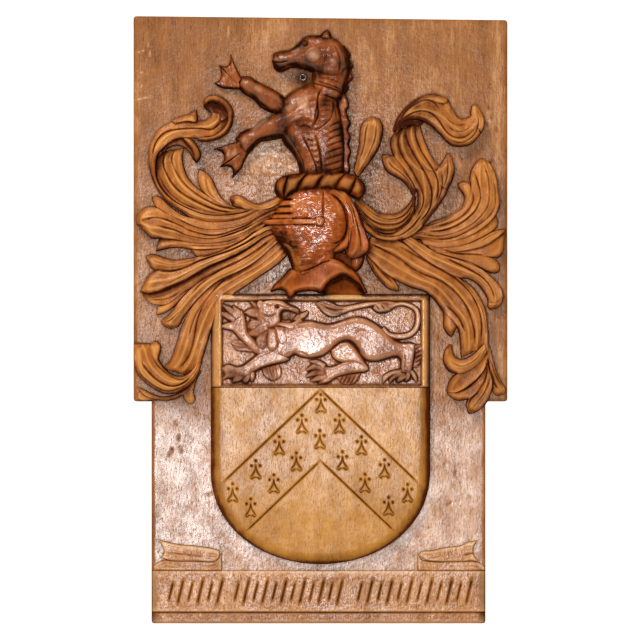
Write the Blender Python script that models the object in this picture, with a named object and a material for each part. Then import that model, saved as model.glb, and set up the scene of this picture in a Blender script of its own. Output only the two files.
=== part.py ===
"""A carved wooden coat of arms: one board with its relief, and the small screw eye in the crest's collar.

Outlines are drawn on a layout sheet: x to the right and y down, in sheet units. Heights are in millimetres
above the carved ground. Each leaf or part is a patch between a left and a right edge line. All patches are
laid over the ground, the highest one showing, and the result is one closed solid with a flat back. The
origin is on that back, in the middle of its width, HANG_HEIGHT above the lower edge, where the panel hangs.
"""

import math

import bpy
import numpy as np

PANEL_HEIGHT = 0.814
SHEET_TOP = 16.0
SHEET_BOTTOM = 623.5
SHEET_MIDDLE = 320.0
UNIT = 1000 * PANEL_HEIGHT / (SHEET_BOTTOM - SHEET_TOP)
BOARD_THICKNESS = 26.0
HANG_HEIGHT = 600.0
UPPER_LEFT = 133.5
UPPER_RIGHT = 507.5
LOWER_LEFT = 151.5
LOWER_RIGHT = 485.5
STEP_ROW = 401.5
TOP_SLOPE = 4.0
CORNER_RADIUS = 4.0
ARRIS_WIDTH = 2.5
ARRIS_DROP = 1.4
WALL_SLOPE = 5.0
RASTER_PITCH = 1.0
MESH_PITCH = 1.6
PANEL_TRIANGLES = 9400

SHIELD_TOP = 294.8
SHIELD_LEFT = 211.5
SHIELD_RIGHT = 429.5
SHIELD_BEND = 470.0
SHIELD_TIP = 563.7
SHIELD_RISE = 16.0
SHIELD_ROLL = 15.0
SHIELD_DROP = 7.5
CHIEF_LINE = 387.2
CHIEF_FRAME = (222.0, 421.5, 300.5, 385.5)
CHIEF_SINK = 4.5
CHEVRON_MIDDLE = 320.5
CHEVRON_TOP = 389.5
CHEVRON_CROTCH = 460.4
CHEVRON_REACH = 96.5
CHEVRON_FALL = 92.0
CHEVRON_INNER_REACH = 73.5
MOTTO_TOP = 570.2
MOTTO_BOTTOM = 611.7
MOTTO_RISE = 4.0
STRIP_RISE = 2.2

STROKE_GROUPS = ((171, 220), (237, 340), (360, 469))
STROKE_SPACING = 9.5
STROKE_ROW = 591.5
STROKE_SLANT = 0.24

# Middles of the ermine spots on the chevron.
ERMINE_SPOTS = (
    (321, 403), (302, 423.5), (339.5, 423.5), (320, 439), (279.5, 445), (361.5, 445), (296.5, 461),
    (342.5, 460), (256, 469), (384.5, 468), (274, 483), (365, 482.5), (233, 492), (407.5, 492.5),
    (251, 507), (388.5, 505.5),
)

# Hollows: place, radius in sheet units and depth.
CREST_EYE = (305, 44.5, 3.8, 3.5)
LION_MOUTH = (286, 316, 5.2, 3.0)

# Root and tip of each lock of the lion's mane.
LION_MANE = (
    ((264, 308), (250, 300)), ((265, 314), (244, 312)), ((267, 321), (247, 326)), ((270, 324), (248, 334)),
    ((266, 326), (264, 353)), ((272, 325), (271, 354)), ((280, 324), (284, 351)), ((287, 325), (291, 348)),
)

# Each paw's wrist and the tips of its claws.
LION_PAWS = (
    ((240, 320), ((220, 304), (232, 305), (218, 312), (219, 327))),
    ((246, 368), ((220, 370), (222, 380), (232, 383), (244, 384), (252, 382))),
    ((329, 372), ((308, 361), (305, 370), (305, 377), (310, 382), (318, 384))),
    ((405, 369), ((382, 384), (389, 384), (396, 384), (406, 383), (417, 384))),
)

RING_PLACE = (303.0, 78.2)
RING_HEIGHT = 18.0
RING_RADIUS = 3.6
RING_WIRE = 1.15
SHANK_RADIUS = 1.2
SHANK_END = 16.5
SHANK_TILT = -0.35
HOLE_GAP = 0.35
HOLE_END = 17.5


def clear_scene():
    for item in list(bpy.data.objects):
        bpy.data.objects.remove(item)


def mm_x(column):
    """Millimetres to the right of the panel's middle."""
    return (column - SHEET_MIDDLE) * UNIT


def mm_z(row):
    """Millimetres above the panel's lower edge."""
    return (SHEET_BOTTOM - row) * UNIT


def smooth_line(points, count):
    """Evenly spaced samples of a smooth line through the points."""
    p = np.array(points, float)
    if len(p) > 2:
        ends = np.vstack([2 * p[0] - p[1], p, 2 * p[-1] - p[-2]])
        t = np.linspace(0, 1, 13)[:-1][:, None]
        runs = []
        for a, b, c, d in zip(ends, ends[1:], ends[2:], ends[3:]):
            k0, k1, k2 = (math.sqrt(math.hypot(*(q - r)) + 1e-9) for q, r in ((b, a), (c, b), (d, c)))
            m1 = k1 * ((b - a) / k0 - (c - a) / (k0 + k1) + (c - b) / k1)
            m2 = k1 * ((c - b) / k1 - (d - b) / (k1 + k2) + (d - c) / k2)
            rise = 3 * t**2 - 2 * t**3
            runs.append((1 - rise) * b + rise * c + (t**3 - 2 * t**2 + t) * m1 + (t**3 - t**2) * m2)
        p = np.vstack(runs + [p[-1:]])
    way = np.concatenate([[0], np.cumsum(np.hypot(*np.diff(p, axis=0).T))])
    s = np.linspace(0, way[-1], count + 1)
    return np.column_stack([np.interp(s, way, p[:, 0]), np.interp(s, way, p[:, 1])])


def spread(values, count):
    """A few values spread smoothly over count + 1 places."""
    v = np.array(values, float)
    if len(v) < 3:
        return np.interp(np.linspace(0, len(v) - 1, count + 1), np.arange(len(v)), v)
    return smooth_line(np.column_stack([np.arange(len(v)) * 500, v]), count)[:, 1]


def gap_to(px, py, line):
    """Distance from each point to the nearest part of a line."""
    best = np.full(px.shape, 1e9)
    for (ax, ay), (bx, by) in zip(line[:-1], line[1:]):
        dx, dy = bx - ax, by - ay
        size = dx * dx + dy * dy + 1e-12
        k = np.clip(((px - ax) * dx + (py - ay) * dy) / size, 0, 1)
        best = np.minimum(best, np.hypot(px - ax - k * dx, py - ay - k * dy))
    return best


def round_over(distance, width, drop):
    """How far a rounded edge falls at this distance from it."""
    k = 1 - np.clip(distance / width, 0, 1)
    return drop * (1 - np.sqrt(np.clip(1 - k**2, 0, 1)))


def patch(left, right, rise, flutes, hollow, bulge, lean, tips, roll, notch, ends):
    """A grid of sheet places and heights between two edge lines."""
    reach = max(np.hypot(*np.diff(np.array(e, float), axis=0).T).sum() for e in (left, right)) * UNIT
    rows = max(8, int(reach / 2))
    a, b = smooth_line(left, rows), smooth_line(right, rows)
    width = np.hypot(*(b - a).T) * UNIT
    columns = int(np.clip(width.max() / 1.5, 8, 40))
    v = np.linspace(0, 1, columns + 1)
    t = 2 * v - 1
    middle = (a + b) / 2
    way = np.concatenate([[0], np.cumsum(np.hypot(*np.diff(middle, axis=0).T) * UNIT)])
    h = spread(rise, rows)[:, None] + spread(lean, rows)[:, None] * t[None, :] / 2
    full = np.clip(width / (0.6 * width.max() + 1e-9), 0.15, 1)[:, None]
    h = h - bulge * full * (1 - np.sqrt(np.clip(1 - t**2, 0, 1)))[None, :]
    if flutes:
        f = (v * flutes) % 1
        h = h - hollow * full * (1 - (2 * f - 1)**2)[None, :]
    for drop, from_end in ((tips[0], way), (tips[1], way[-1] - way)):
        h = h - round_over(from_end, max(4.0, width.max() / 2), drop)[:, None]
    place = a[:, None, :] * (1 - v)[None, :, None] + b[:, None, :] * v[None, :, None]
    u = np.linspace(0, 1, rows + 1)
    for pull, near, inner in ((notch[0], 1 - u, 2), (notch[1], u, -3)):
        aim = middle[0 if near[0] else -1] - middle[inner]
        aim = aim / (math.hypot(*aim) + 1e-9)
        place = place - pull * (near**3)[:, None, None] * (1 - t**2)[None, :, None] * aim
    if roll:
        sides = [place[:, 0], place[:, -1]]
        sides += [place[k] for k, used in ((0, ends[0]), (-1, ends[1])) if used]
        gaps = [gap_to(place[..., 0], place[..., 1], side) for side in sides]
        h = h - round_over(np.minimum.reduce(gaps) * UNIT, *roll)
    return np.dstack([place, h])


def leaf(left, right, rise, flutes=0, hollow=2.0, bulge=2.0, lean=(0, 0), tips=(4, 0)):
    """A cloth or leaf strip with rounded sides and hollow flutes between ridges."""
    return patch(left, right, rise, flutes, hollow, bulge, lean, tips, None, (0, 0), (False, False))


def part(left, right, rise, flutes=0, hollow=2.0, lean=(0, 0), roll=None, notch=(0, 0), ends=(True, True)):
    """A body part with its edge rounded over all round."""
    return patch(left, right, rise, flutes, hollow, 0, lean, (0, 0), roll, notch, ends)


def lock(root, tip, width, rise):
    """A pointed lock, claw or tuft from its root to its tip."""
    root, tip = np.array(root, float), np.array(tip, float)
    aim = tip - root
    side = width * np.array([-aim[1], aim[0]]) / (math.hypot(*aim) + 1e-9)
    edges = []
    for sign in (1, -1):
        taper = ((0, 0.42), (0.35, 0.5), (0.7, 0.34), (1, 0.04))
        edges.append([root + aim * k + side * sign * w for k, w in taper])
    return part(*edges, [rise, rise, rise - 2.5], flutes=1, hollow=1.1, roll=(2.5, 2), ends=(False, True))


def groove(points, width, depth):
    """A V-cut along a line, its width and depth in millimetres."""
    return points, width, depth


def disc(x, y, radius, rise, drop):
    """A low round button."""
    r = np.linspace(0, 1, 7)[:, None]
    a = np.linspace(0, 2 * math.pi, 25)[None, :]
    return np.dstack([x + radius * r * np.cos(a), y + radius * r * np.sin(a),
                      rise - drop * (1 - np.sqrt(1 - r**2)) + 0 * a])


def left_mantling():
    """The cut cloth on the left: top scroll, fan of leaves and bottom curl."""
    leaves = {
        "hook_under": leaf([(204, 106), (210, 104), (218, 104), (225, 109), (228, 117)], [(205, 108),
            (214, 114), (218, 115), (222, 121)], [8, 8, 10, 13, 16], bulge=0),
        "hook_rim": leaf([(204, 106), (206, 100), (212, 96), (220, 97), (232, 110), (231, 127),
            (219, 138), (208, 141), (198, 140)], [(207, 104), (214, 102), (225, 109), (228, 121),
            (225, 128), (214, 136), (199, 138)], [20, 25, 27, 26, 24, 22], bulge=3, tips=(3, 2)),
        "scroll": leaf([(212, 113), (210, 118), (196, 122), (186, 120), (176, 121), (159, 131),
            (150, 150), (152, 175), (163, 197), (183, 213), (210, 222), (240, 219), (268, 206)],
            [(226, 115), (228, 121), (224, 129), (208, 138), (175, 140), (156, 160), (158, 181),
            (170, 198), (212, 216), (245, 213), (265, 203)],
            [15, 17, 20, 22, 25, 27, 27, 25, 22, 20, 19, 19, 20, 21], flutes=2, hollow=2.6, bulge=3,
            lean=[0, 0, 3, 4, 4, 2, 0], tips=(2, 0)),
        "scroll_spur": leaf([(196, 111), (189, 115), (172, 122)], [(196, 111), (196, 124), (188, 128),
            (176, 127)], [20, 21, 24], bulge=1.5),
        "scroll_shade": leaf([(162, 152), (174, 141), (189, 142), (196, 149), (199, 157)], [(164, 152),
            (169, 148), (177, 145), (190, 152), (194, 160)], [12, 11, 11, 11, 10], bulge=0, tips=(0, 2)),
        "scroll_tongue": leaf([(184, 138), (190, 140), (200, 153), (200, 158), (196, 162)], [(185, 140),
            (193, 151), (196, 162)], [23, 22, 20, 17, 13], bulge=2.5, tips=(0, 4)),
        "inner": leaf([(163, 152), (158, 157), (158, 178), (170, 198), (212, 215), (245, 212),
            (266, 202)], [(184, 148), (182, 157), (187, 177), (226, 206), (252, 208), (262, 204)],
            [11, 17, 21, 22, 22, 21, 20, 21], flutes=3, hollow=2.2, bulge=3, tips=(3, 0)),
        "spike": leaf([(199, 170), (200, 186), (225, 206), (238, 209)], [(200, 170), (211, 178),
            (219, 195), (234, 208)], [13, 18, 21, 20, 19], flutes=1, hollow=1.5, bulge=1),
        "stub": leaf([(230, 198), (236, 196), (243, 198), (250, 202), (260, 205), (272, 202)],
            [(234, 206), (258, 211), (271, 209)], [18, 22, 22, 23, 24], flutes=2, hollow=1.4, bulge=2,
            tips=(1, 0)),
        "fan1": leaf([(153, 197), (158, 196), (173, 209), (184, 216), (196, 219), (210, 222), (240, 219),
            (267, 206)], [(153, 201), (156, 207), (170, 216), (181, 220), (210, 230), (240, 226),
            (268, 212)], [15, 17, 18, 19, 20, 22], flutes=1, hollow=1.5, bulge=1.5),
        "fan2": leaf([(137, 222), (138, 216), (142, 210), (150, 207), (158, 208), (166, 214), (175, 216),
            (198, 227), (212, 230), (240, 226), (268, 211)], [(137, 224), (152, 238), (160, 238),
            (172, 239), (200, 244), (228, 241), (258, 228)], [17, 22, 20, 17, 18, 20, 21, 23], flutes=3,
            hollow=2, bulge=3, tips=(4, 0)),
        "fan3": leaf([(160, 238), (172, 238), (200, 243), (228, 240), (266, 223)], [(156, 251),
            (172, 248), (192, 249), (220, 249), (236, 245), (262, 229)], [14, 15, 17, 18, 20, 22],
            flutes=1, hollow=1.6, bulge=2, lean=[4, 2, 0], tips=(2, 0)),
        "fan3_under": leaf([(190, 249), (220, 248), (236, 244), (250, 236)], [(192, 251), (195, 255),
            (201, 258), (244, 242)], [13, 15, 17, 18], bulge=1.5, tips=(2, 0)),
        "fan4": leaf([(146, 257), (152, 254), (168, 260), (178, 260), (214, 253), (242, 242), (264, 228)],
            [(148, 262), (152, 268), (172, 271), (200, 262), (244, 244), (266, 231)],
            [13, 16, 17, 18, 20, 23], flutes=2, hollow=1.5, bulge=2, tips=(3, 0)),
        "fan5": leaf([(147, 278), (152, 273), (159, 271), (172, 272), (200, 261), (246, 242), (268, 228)],
            [(141, 291), (150, 293), (182, 282), (208, 267), (236, 255), (250, 247), (262, 238),
            (273, 233)], [18, 20, 20, 20, 22, 24], flutes=2, hollow=2, bulge=2.5, tips=(4, 0)),
        "fan6": leaf([(142, 292), (150, 293), (160, 291), (210, 266), (240, 254), (264, 237)],
            [(146, 298), (152, 303), (168, 304), (176, 299), (213, 276), (242, 263), (267, 246)],
            [7, 9, 11, 13, 16, 18], flutes=2, hollow=1.2, bulge=2, tips=(2, 0)),
        "fan6_under": leaf([(158, 307), (167, 304), (198, 284)], [(156, 314), (165, 313), (204, 283)],
            [7, 9, 11, 13], bulge=1.5, tips=(2, 0)),
        "fan7": leaf([(170, 329), (164, 326), (162, 321), (170, 314), (181, 300), (197, 284), (238, 263),
            (264, 244), (272, 235)], [(172, 329), (178, 326), (185, 314), (214, 284), (240, 270),
            (256, 261), (279, 241)], [13, 17, 19, 20, 22, 25, 27], flutes=2, hollow=2.6, bulge=2.5,
            lean=[0, 0, 2, 2], tips=(5, 0)),
        "fan8": leaf([(279, 241), (256, 261), (215, 283), (206, 290), (190, 311), (182, 326), (172, 359),
            (164, 368)], [(286, 256), (278, 264), (225, 301), (216, 313), (202, 357), (198, 367),
            (190, 376)], [27, 25, 20, 15.5, 15, 17, 20, 21, 18, 12], flutes=3, hollow=2.2, bulge=2.5,
            tips=(0, 0)),
        "curl": leaf([(199, 357), (194, 368), (187, 375), (178, 376), (170, 374), (157, 360), (150, 344)],
            [(202, 360), (198, 372), (191, 383), (180, 391), (168, 394), (157, 390), (139, 375),
            (135, 363), (134, 344)], [12, 19, 23, 26, 27, 26, 24, 22], flutes=3, hollow=2.4, bulge=3.5,
            lean=[2, 2, 3, 4], tips=(0, 4)),
        "curl_ear": leaf([(155, 342), (151, 344), (154, 361), (161, 369)], [(157, 342), (160, 346),
            (158, 359), (163, 367)], [15, 19, 21, 22], bulge=1.5, tips=(3, 0)),
        "curl_rim": leaf([(138, 387), (160, 396), (171, 396), (191, 383), (199, 370)], [(140, 392),
            (148, 397), (172, 400), (192, 386), (200, 372)], [8, 9, 10, 10, 9], bulge=1, tips=(1, 0)),
        "curl_foot": leaf([(138, 393), (142, 391), (155, 398)], [(138, 399), (144, 400), (157, 400)],
            [5, 6, 6], bulge=1, tips=(1, 1)),
        "curl_tail": leaf([(189, 404), (183, 394), (199, 370)], [(192, 404), (194, 400), (194, 392),
            (196, 382), (201, 371)], [7, 9, 9, 8], flutes=1, hollow=1, bulge=1),
    }
    grooves = [
        groove([(222, 122), (212, 130), (200, 129), (168, 132), (155, 147), (153, 158)], 3, 2.2),
        groove([(165, 153), (164, 162), (178, 190), (215, 210), (232, 213)], 3, 2.2),
        groove([(176, 148), (172, 160), (184, 183), (222, 207), (238, 210)], 2.6, 1.4),
        groove([(143, 220), (154, 218), (163, 219), (211, 236), (246, 226), (256, 220)], 3, 2.2),
        groove([(158, 226), (174, 230), (189, 236), (213, 239), (240, 231), (252, 225)], 3, 2),
        groove([(158, 271), (172, 272), (200, 261), (232, 250), (258, 235)], 3, 2.5),
        groove([(160, 291), (184, 281), (212, 266), (244, 251), (258, 242)], 3, 2.5),
        groove([(200, 258), (214, 254), (244, 240), (256, 231)], 3, 2),
        groove([(230, 277), (222, 282), (198, 312), (189, 338)], 3, 2),
        groove([(212, 293), (199, 316), (193, 345), (188, 358), (180, 368)], 3, 2),
        groove([(141, 360), (147, 369), (165, 384), (175, 386), (185, 382), (192, 375)], 3, 2.2),
        groove([(152, 352), (161, 368), (180, 380), (188, 377)], 2.6, 1.5),
        groove([(165, 322), (170, 320), (181, 311)], 2.2, 1.4),
        groove([(270, 240), (258, 250), (226, 267), (200, 285), (192, 294)], 2.6, 1.4),
    ]
    return leaves, grooves


def right_mantling():
    """The cut cloth on the right, and the plume behind the wreath."""
    leaves = {
        "arch": leaf([(394, 131), (400, 116), (414, 101), (430, 95), (445, 100), (458, 119), (470, 118),
            (472, 113)], [(396, 132), (402, 122), (417, 120), (432, 127), (449, 144), (468, 145),
            (480, 134)], [12, 18, 23, 26, 28, 28, 27, 25, 23, 21, 20], flutes=2, hollow=2.4, bulge=3.5,
            tips=(2, 0)),
        "arch_knob": leaf([(433, 99), (438, 96), (447, 99)], [(433, 104), (444, 104), (447, 104)],
            [26, 27, 26], bulge=2, tips=(1, 2)),
        "arch_hook": leaf([(472, 119), (472, 107), (474, 105)], [(481, 133), (483, 126), (483, 118),
            (476, 106), (474, 105)], [20, 20, 19, 16], flutes=2, hollow=2, bulge=2.5, tips=(0, 3)),
        "arch_shade": leaf([(396, 129), (401, 122), (417, 120), (423, 122)], [(396, 134), (401, 128),
            (414, 124), (420, 126)], [10, 10, 9, 8], bulge=0, tips=(1, 1)),
        "fall": leaf([(396, 131), (392, 138), (394, 156), (406, 172), (417, 192), (418, 202), (409, 223),
            (400, 231)], [(420, 122), (421, 131), (433, 160), (446, 172), (452, 172), (449, 184),
            (445, 195), (422, 226), (410, 236), (396, 241)], [10, 16, 20, 23, 24, 24, 24, 24, 22, 20],
            flutes=3, hollow=2.4, bulge=3, tips=(3, 0)),
        "fall_spur": leaf([(448, 154), (436, 172), (434, 182)], [(448, 154), (454, 170), (447, 190)],
            [20, 23, 24, 24], flutes=1, hollow=1.6, bulge=2, tips=(3, 0)),
        "tongue": leaf([(383, 155), (390, 156), (397, 159), (410, 176), (416, 188)], [(382, 157),
            (384, 165), (388, 172), (402, 180), (414, 197)], [14, 18, 20, 20], flutes=2, hollow=1.5,
            bulge=1.5, tips=(3, 0)),
        "cup": leaf([(414, 195), (410, 202), (398, 213), (380, 214), (354, 193)], [(416, 198), (414, 210),
            (404, 228), (384, 233), (366, 222), (356, 208)], [14, 17, 19, 20, 20, 18, 17], flutes=4,
            hollow=1.8, bulge=1.5, lean=[-4, -5, -5, -4, -2], tips=(1, 0)),
        "cup_rim": leaf([(413, 215), (408, 224), (393, 234), (374, 231), (366, 224), (359, 214)],
            [(423, 227), (413, 235), (402, 240), (378, 238), (368, 233), (359, 224)],
            [20, 21, 22, 22, 21, 18], flutes=0, bulge=2, lean=[0, 2, 2, 0], tips=(0, 0)),
        "plume": leaf([(354, 172), (359, 148), (362, 126), (366, 120), (371, 118)], [(358, 177),
            (380, 145), (382, 125), (378, 119), (372, 118)], [20, 21, 22, 22, 20], flutes=3, hollow=1.8,
            bulge=3, tips=(0, 5)),
        "rcurl": leaf([(458, 184), (464, 182), (468, 184), (471, 189), (466, 204), (449, 219),
            (424, 226)], [(458, 188), (464, 196), (458, 210), (440, 220), (432, 222), (424, 228)],
            [13, 18, 20, 20, 20, 18], bulge=2, tips=(3, 0)),
        "rfan1": leaf([(480, 159), (476, 163), (470, 179), (471, 188), (466, 204), (448, 218),
            (411, 230)], [(482, 159), (488, 162), (494, 172), (498, 193), (499, 202), (491, 220),
            (468, 236), (440, 243), (412, 238)], [15, 20, 22, 23, 23, 23, 23, 22, 20, 18], flutes=3,
            hollow=2.4, bulge=3.5, tips=(5, 0)),
        "rfan2": leaf([(496, 215), (486, 224), (460, 239), (432, 242), (420, 239)], [(498, 222),
            (496, 228), (466, 244), (438, 248), (424, 245)], [13, 17, 19, 20, 19], flutes=1, hollow=1.2,
            bulge=2, tips=(3, 0)),
        "rfan3": leaf([(505, 230), (494, 232), (468, 244), (440, 248), (426, 244)], [(505, 232),
            (488, 244), (448, 253), (434, 252)], [15, 18, 19, 19, 18], flutes=1, hollow=1.4, bulge=2,
            tips=(3, 0)),
        "rfan4": leaf([(505, 234), (498, 237), (488, 244), (476, 248), (448, 252), (434, 251)],
            [(504, 243), (502, 252), (498, 257), (491, 257), (438, 254)], [12, 15, 16, 16, 17, 18],
            flutes=1, hollow=1.6, bulge=2, tips=(2, 0)),
        "rfan5": leaf([(496, 260), (488, 256), (450, 254), (436, 252)], [(499, 266), (498, 272),
            (492, 273), (472, 265), (448, 258), (436, 256)], [14, 16, 17, 18, 18], flutes=1, hollow=1,
            bulge=2.5, tips=(3, 0)),
        "rfan6": leaf([(410, 237), (422, 244), (436, 253), (476, 266), (502, 290), (501, 304),
            (496, 309)], [(402, 241), (428, 262), (454, 276), (470, 280), (478, 284), (488, 300),
            (488, 306), (490, 309)], [20, 22, 23, 23, 22, 21, 20, 18], flutes=2, hollow=2.4, bulge=3,
            tips=(0, 5)),
        "rband": leaf([(371, 237), (385, 240), (398, 241), (422, 256), (462, 281), (480, 305), (486, 333),
            (484, 346)], [(366, 254), (386, 274), (412, 288), (424, 291), (433, 298), (446, 315),
            (453, 321), (458, 330), (462, 357)], [22, 21, 21, 20, 20, 21, 23, 24, 24, 22, 18], flutes=3,
            hollow=2.4, bulge=3.5, tips=(0, 0)),
        "rband_edge": leaf([(452, 274), (464, 281), (482, 301), (486, 315), (488, 350)], [(450, 277),
            (462, 285), (478, 306), (484, 334), (482, 352)], [14, 17, 18, 18, 17, 16], bulge=1.5,
            tips=(0, 0)),
        "rleaf": leaf([(367, 256), (383, 269), (397, 285), (398, 290)], [(366, 258), (375, 274),
            (389, 288), (397, 291)], [15, 14, 13, 10], flutes=2, hollow=1.2, bulge=1.5, tips=(0, 2)),
        "rdrop": leaf([(437, 300), (442, 308), (444, 327), (447, 334), (450, 336)], [(446, 304),
            (457, 319), (452, 336)], [18, 19, 18, 15], bulge=2.5, tips=(0, 4)),
        "wrap": leaf([(484, 344), (470, 356), (461, 360), (455, 358), (451, 345)], [(486, 352),
            (480, 362), (460, 373), (451, 372), (443, 359), (445, 351), (450, 345)],
            [20, 23, 25, 25, 23, 20, 16], flutes=2, hollow=1.8, bulge=3, tips=(0, 3)),
        "lobe1": leaf([(485, 352), (478, 362), (468, 370), (452, 378), (447, 390)], [(488, 356),
            (484, 368), (476, 379), (457, 391), (448, 392)], [16, 20, 21, 21, 18, 13], flutes=1,
            hollow=2.5, bulge=1, tips=(0, 3)),
        "lobe2": leaf([(486, 362), (481, 374), (462, 390), (447, 393)], [(488, 365), (486, 377),
            (473, 396), (455, 399), (448, 395)], [14, 17, 18, 17, 15, 12], flutes=1, hollow=2, bulge=1.5,
            tips=(0, 3)),
        "lobe3": leaf([(486, 364), (483, 376), (477, 388), (470, 397), (466, 404), (468, 411)],
            [(490, 364), (491, 390), (487, 401), (478, 410), (468, 413)], [13, 17, 18, 17, 16, 12],
            flutes=2, hollow=2, bulge=2, tips=(0, 3)),
        "lobe4": leaf([(486, 350), (488, 362), (493, 392), (496, 395)], [(489, 346), (496, 372),
            (505, 389), (504, 394), (499, 396)], [14, 15, 14, 12, 10], flutes=2, hollow=1.5, bulge=1.5,
            tips=(0, 2)),
    }
    grooves = [
        groove([(402, 121), (410, 115), (420, 112), (430, 114), (438, 121), (450, 136), (466, 137),
            (473, 131)], 2.8, 1.8),
        groove([(448, 139), (462, 143), (476, 132), (478, 122), (475, 110)], 2.6, 1.6),
        groove([(406, 126), (406, 137), (431, 190), (427, 213), (419, 223)], 3, 2.2),
        groove([(415, 125), (416, 138), (421, 151), (436, 177), (438, 190), (436, 201)], 2.8, 1.8),
        groove([(399, 133), (398, 145), (423, 196), (422, 207), (416, 218)], 2.8, 1.6),
        groove([(364, 206), (371, 213), (381, 218), (401, 217), (414, 203)], 2.6, 1.6),
        groove([(360, 209), (368, 218), (378, 224), (402, 222), (410, 214)], 2.6, 1.6),
        groove([(358, 213), (366, 223), (376, 229), (399, 228), (408, 220)], 2.6, 1.6),
        groove([(474, 172), (480, 197), (467, 219), (441, 231), (426, 232)], 3, 2.2),
        groove([(484, 166), (488, 180), (487, 207), (468, 227), (440, 236), (424, 235)], 3, 2),
        groove([(471, 190), (473, 199), (469, 209), (450, 223), (436, 227)], 2.6, 1.6),
        groove([(440, 249), (455, 253), (486, 256)], 2.6, 1.6),
        groove([(436, 253), (465, 262), (492, 274)], 2.6, 2),
        groove([(445, 258), (485, 280), (492, 291), (494, 300)], 3, 2.2),
        groove([(370, 244), (400, 260), (415, 270), (445, 284), (464, 304), (474, 329), (474, 343)],
            3, 2.2),
        groove([(400, 247), (445, 272), (469, 292), (481, 322), (481, 340)], 3, 2),
        groove([(446, 306), (460, 321), (464, 331)], 2.8, 1.8),
        groove([(452, 362), (459, 366), (476, 358), (482, 351)], 2.6, 1.6),
        groove([(482, 372), (474, 382), (456, 393)], 2.8, 1.6),
        groove([(488, 366), (484, 381), (470, 400), (468, 408)], 2.8, 1.6),
        groove([(487, 355), (493, 381), (499, 391)], 2.8, 1.6),
    ]
    return leaves, grooves


def crest():
    """The half sea-horse: head, neck, body, fins, arms and webbed hands."""
    parts = {
        "arm_far": part([(290, 106), (284, 98), (256, 81), (250, 77), (240, 77)], [(286, 116), (268, 111),
            (260, 106), (254, 100), (243, 92), (237, 86)], [26, 25, 23, 21, 19, 17, 14], roll=(9, 8),
            ends=(False, True)),
        "far_web1": part([(241, 79), (234, 63), (231, 54)], [(238, 84), (230, 76), (219, 66)],
            [15, 13, 12, 10], flutes=1, hollow=2.2, roll=(3, 2), notch=(0, 6.5), ends=(False, True)),
        "far_web2": part([(239, 83), (230, 76), (220, 66)], [(240, 89), (222, 87), (214, 83)],
            [15, 12, 11, 9], flutes=1, hollow=2.2, roll=(3, 2), notch=(0, 5), ends=(False, True)),
        "torso": part([(312, 83), (304, 88), (295, 90), (282, 104), (282, 138), (298, 161), (300, 180)],
            [(343, 93), (338, 100), (340, 118), (344, 145), (344, 180)], [27, 30, 32, 33, 33, 32, 31, 31],
            lean=[0, 0, 0, 0], roll=(17, 12), ends=(False, False)),
        "fin": part([(341, 92), (338, 100), (342, 145), (342, 178)], [(345, 94), (348, 106), (346, 112),
            (350, 124), (348, 130), (350, 138), (349, 145), (350, 152), (349, 160), (350, 168),
            (348, 178)], [17, 18, 19, 19, 19], roll=(3, 2), ends=(False, False)),
        "neck": part([(318, 64), (314, 72), (313, 92)], [(349, 62), (349, 74), (340, 100)],
            [31, 31, 30, 31, 30], roll=(12, 9), ends=(False, False)),
        "head": part([(272, 60), (274, 54), (288, 51), (295, 47), (306, 37), (315, 36), (322, 36),
            (338, 42), (348, 58), (349, 68)], [(272, 62), (274, 68), (279, 71), (285, 70), (292, 68),
            (314, 73), (322, 78), (338, 80), (344, 77), (348, 71)], [22, 26, 29, 31, 33, 34, 33, 31],
            roll=(11, 10)),
        "mane": part([(342, 46), (346, 55), (347, 78), (343, 87), (343, 93)], [(344, 46), (350, 54),
            (349, 60), (352, 66), (350, 72), (352, 78), (348, 84), (349, 88), (344, 94)],
            [17, 19, 19, 18, 17], roll=(3, 2)),
        "ear": part([(320, 40), (322, 34), (327, 31)], [(330, 41), (330, 32), (328, 31)], [33, 33, 31],
            roll=(4, 4)),
        "arm_near": part([(318, 96), (304, 100), (284, 111), (261, 122), (254, 128), (247, 130),
            (240, 134), (236, 139)], [(312, 130), (306, 127), (282, 137), (260, 142), (246, 154),
            (240, 150)], [35, 35, 34, 32, 29, 26, 23, 20], roll=(12, 10), ends=(False, True)),
        "near_web1": part([(242, 142), (232, 144), (214, 149)], [(244, 151), (236, 156), (220, 166)],
            [17, 15, 13, 10], flutes=1, hollow=2.2, roll=(3, 2), notch=(0, 8), ends=(False, True)),
        "near_web2": part([(243, 150), (236, 157), (221, 167)], [(249, 152), (240, 170), (232, 178)],
            [17, 14, 12, 10], flutes=1, hollow=2.2, roll=(3, 2), notch=(0, 7), ends=(False, True)),
        "cheek": disc(314, 56, 8, 34.6, 1.0),
    }
    grooves = [
        groove([(275, 62), (286, 62), (306, 64), (313, 69)], 3.4, 3),
        groove([(281, 60), (284, 58)], 3, 2),
        groove([(316, 82), (336, 88), (344, 94)], 2.6, 1.8),
        groove([(312, 84), (335, 91), (343, 95)], 2.8, 2.4),
        groove([(322, 89), (318, 96), (318, 105), (318, 114), (312, 130)], 2.8, 2.6),
        groove([(312, 130), (318, 130), (330, 120), (333, 112), (333, 101)], 2.6, 1.8),
        groove([(303, 137), (315, 164), (318, 175)], 2.6, 1.6),
        groove([(314, 133), (318, 147), (322, 175)], 2.6, 1.8),
    ]
    for k in range(8):
        row = 173.5 - 6.5 * k
        grooves.append(groove([(324 + k, row), (334, row - 3), (343, row - 6)], 2.8, 2))
    return parts, grooves


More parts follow.
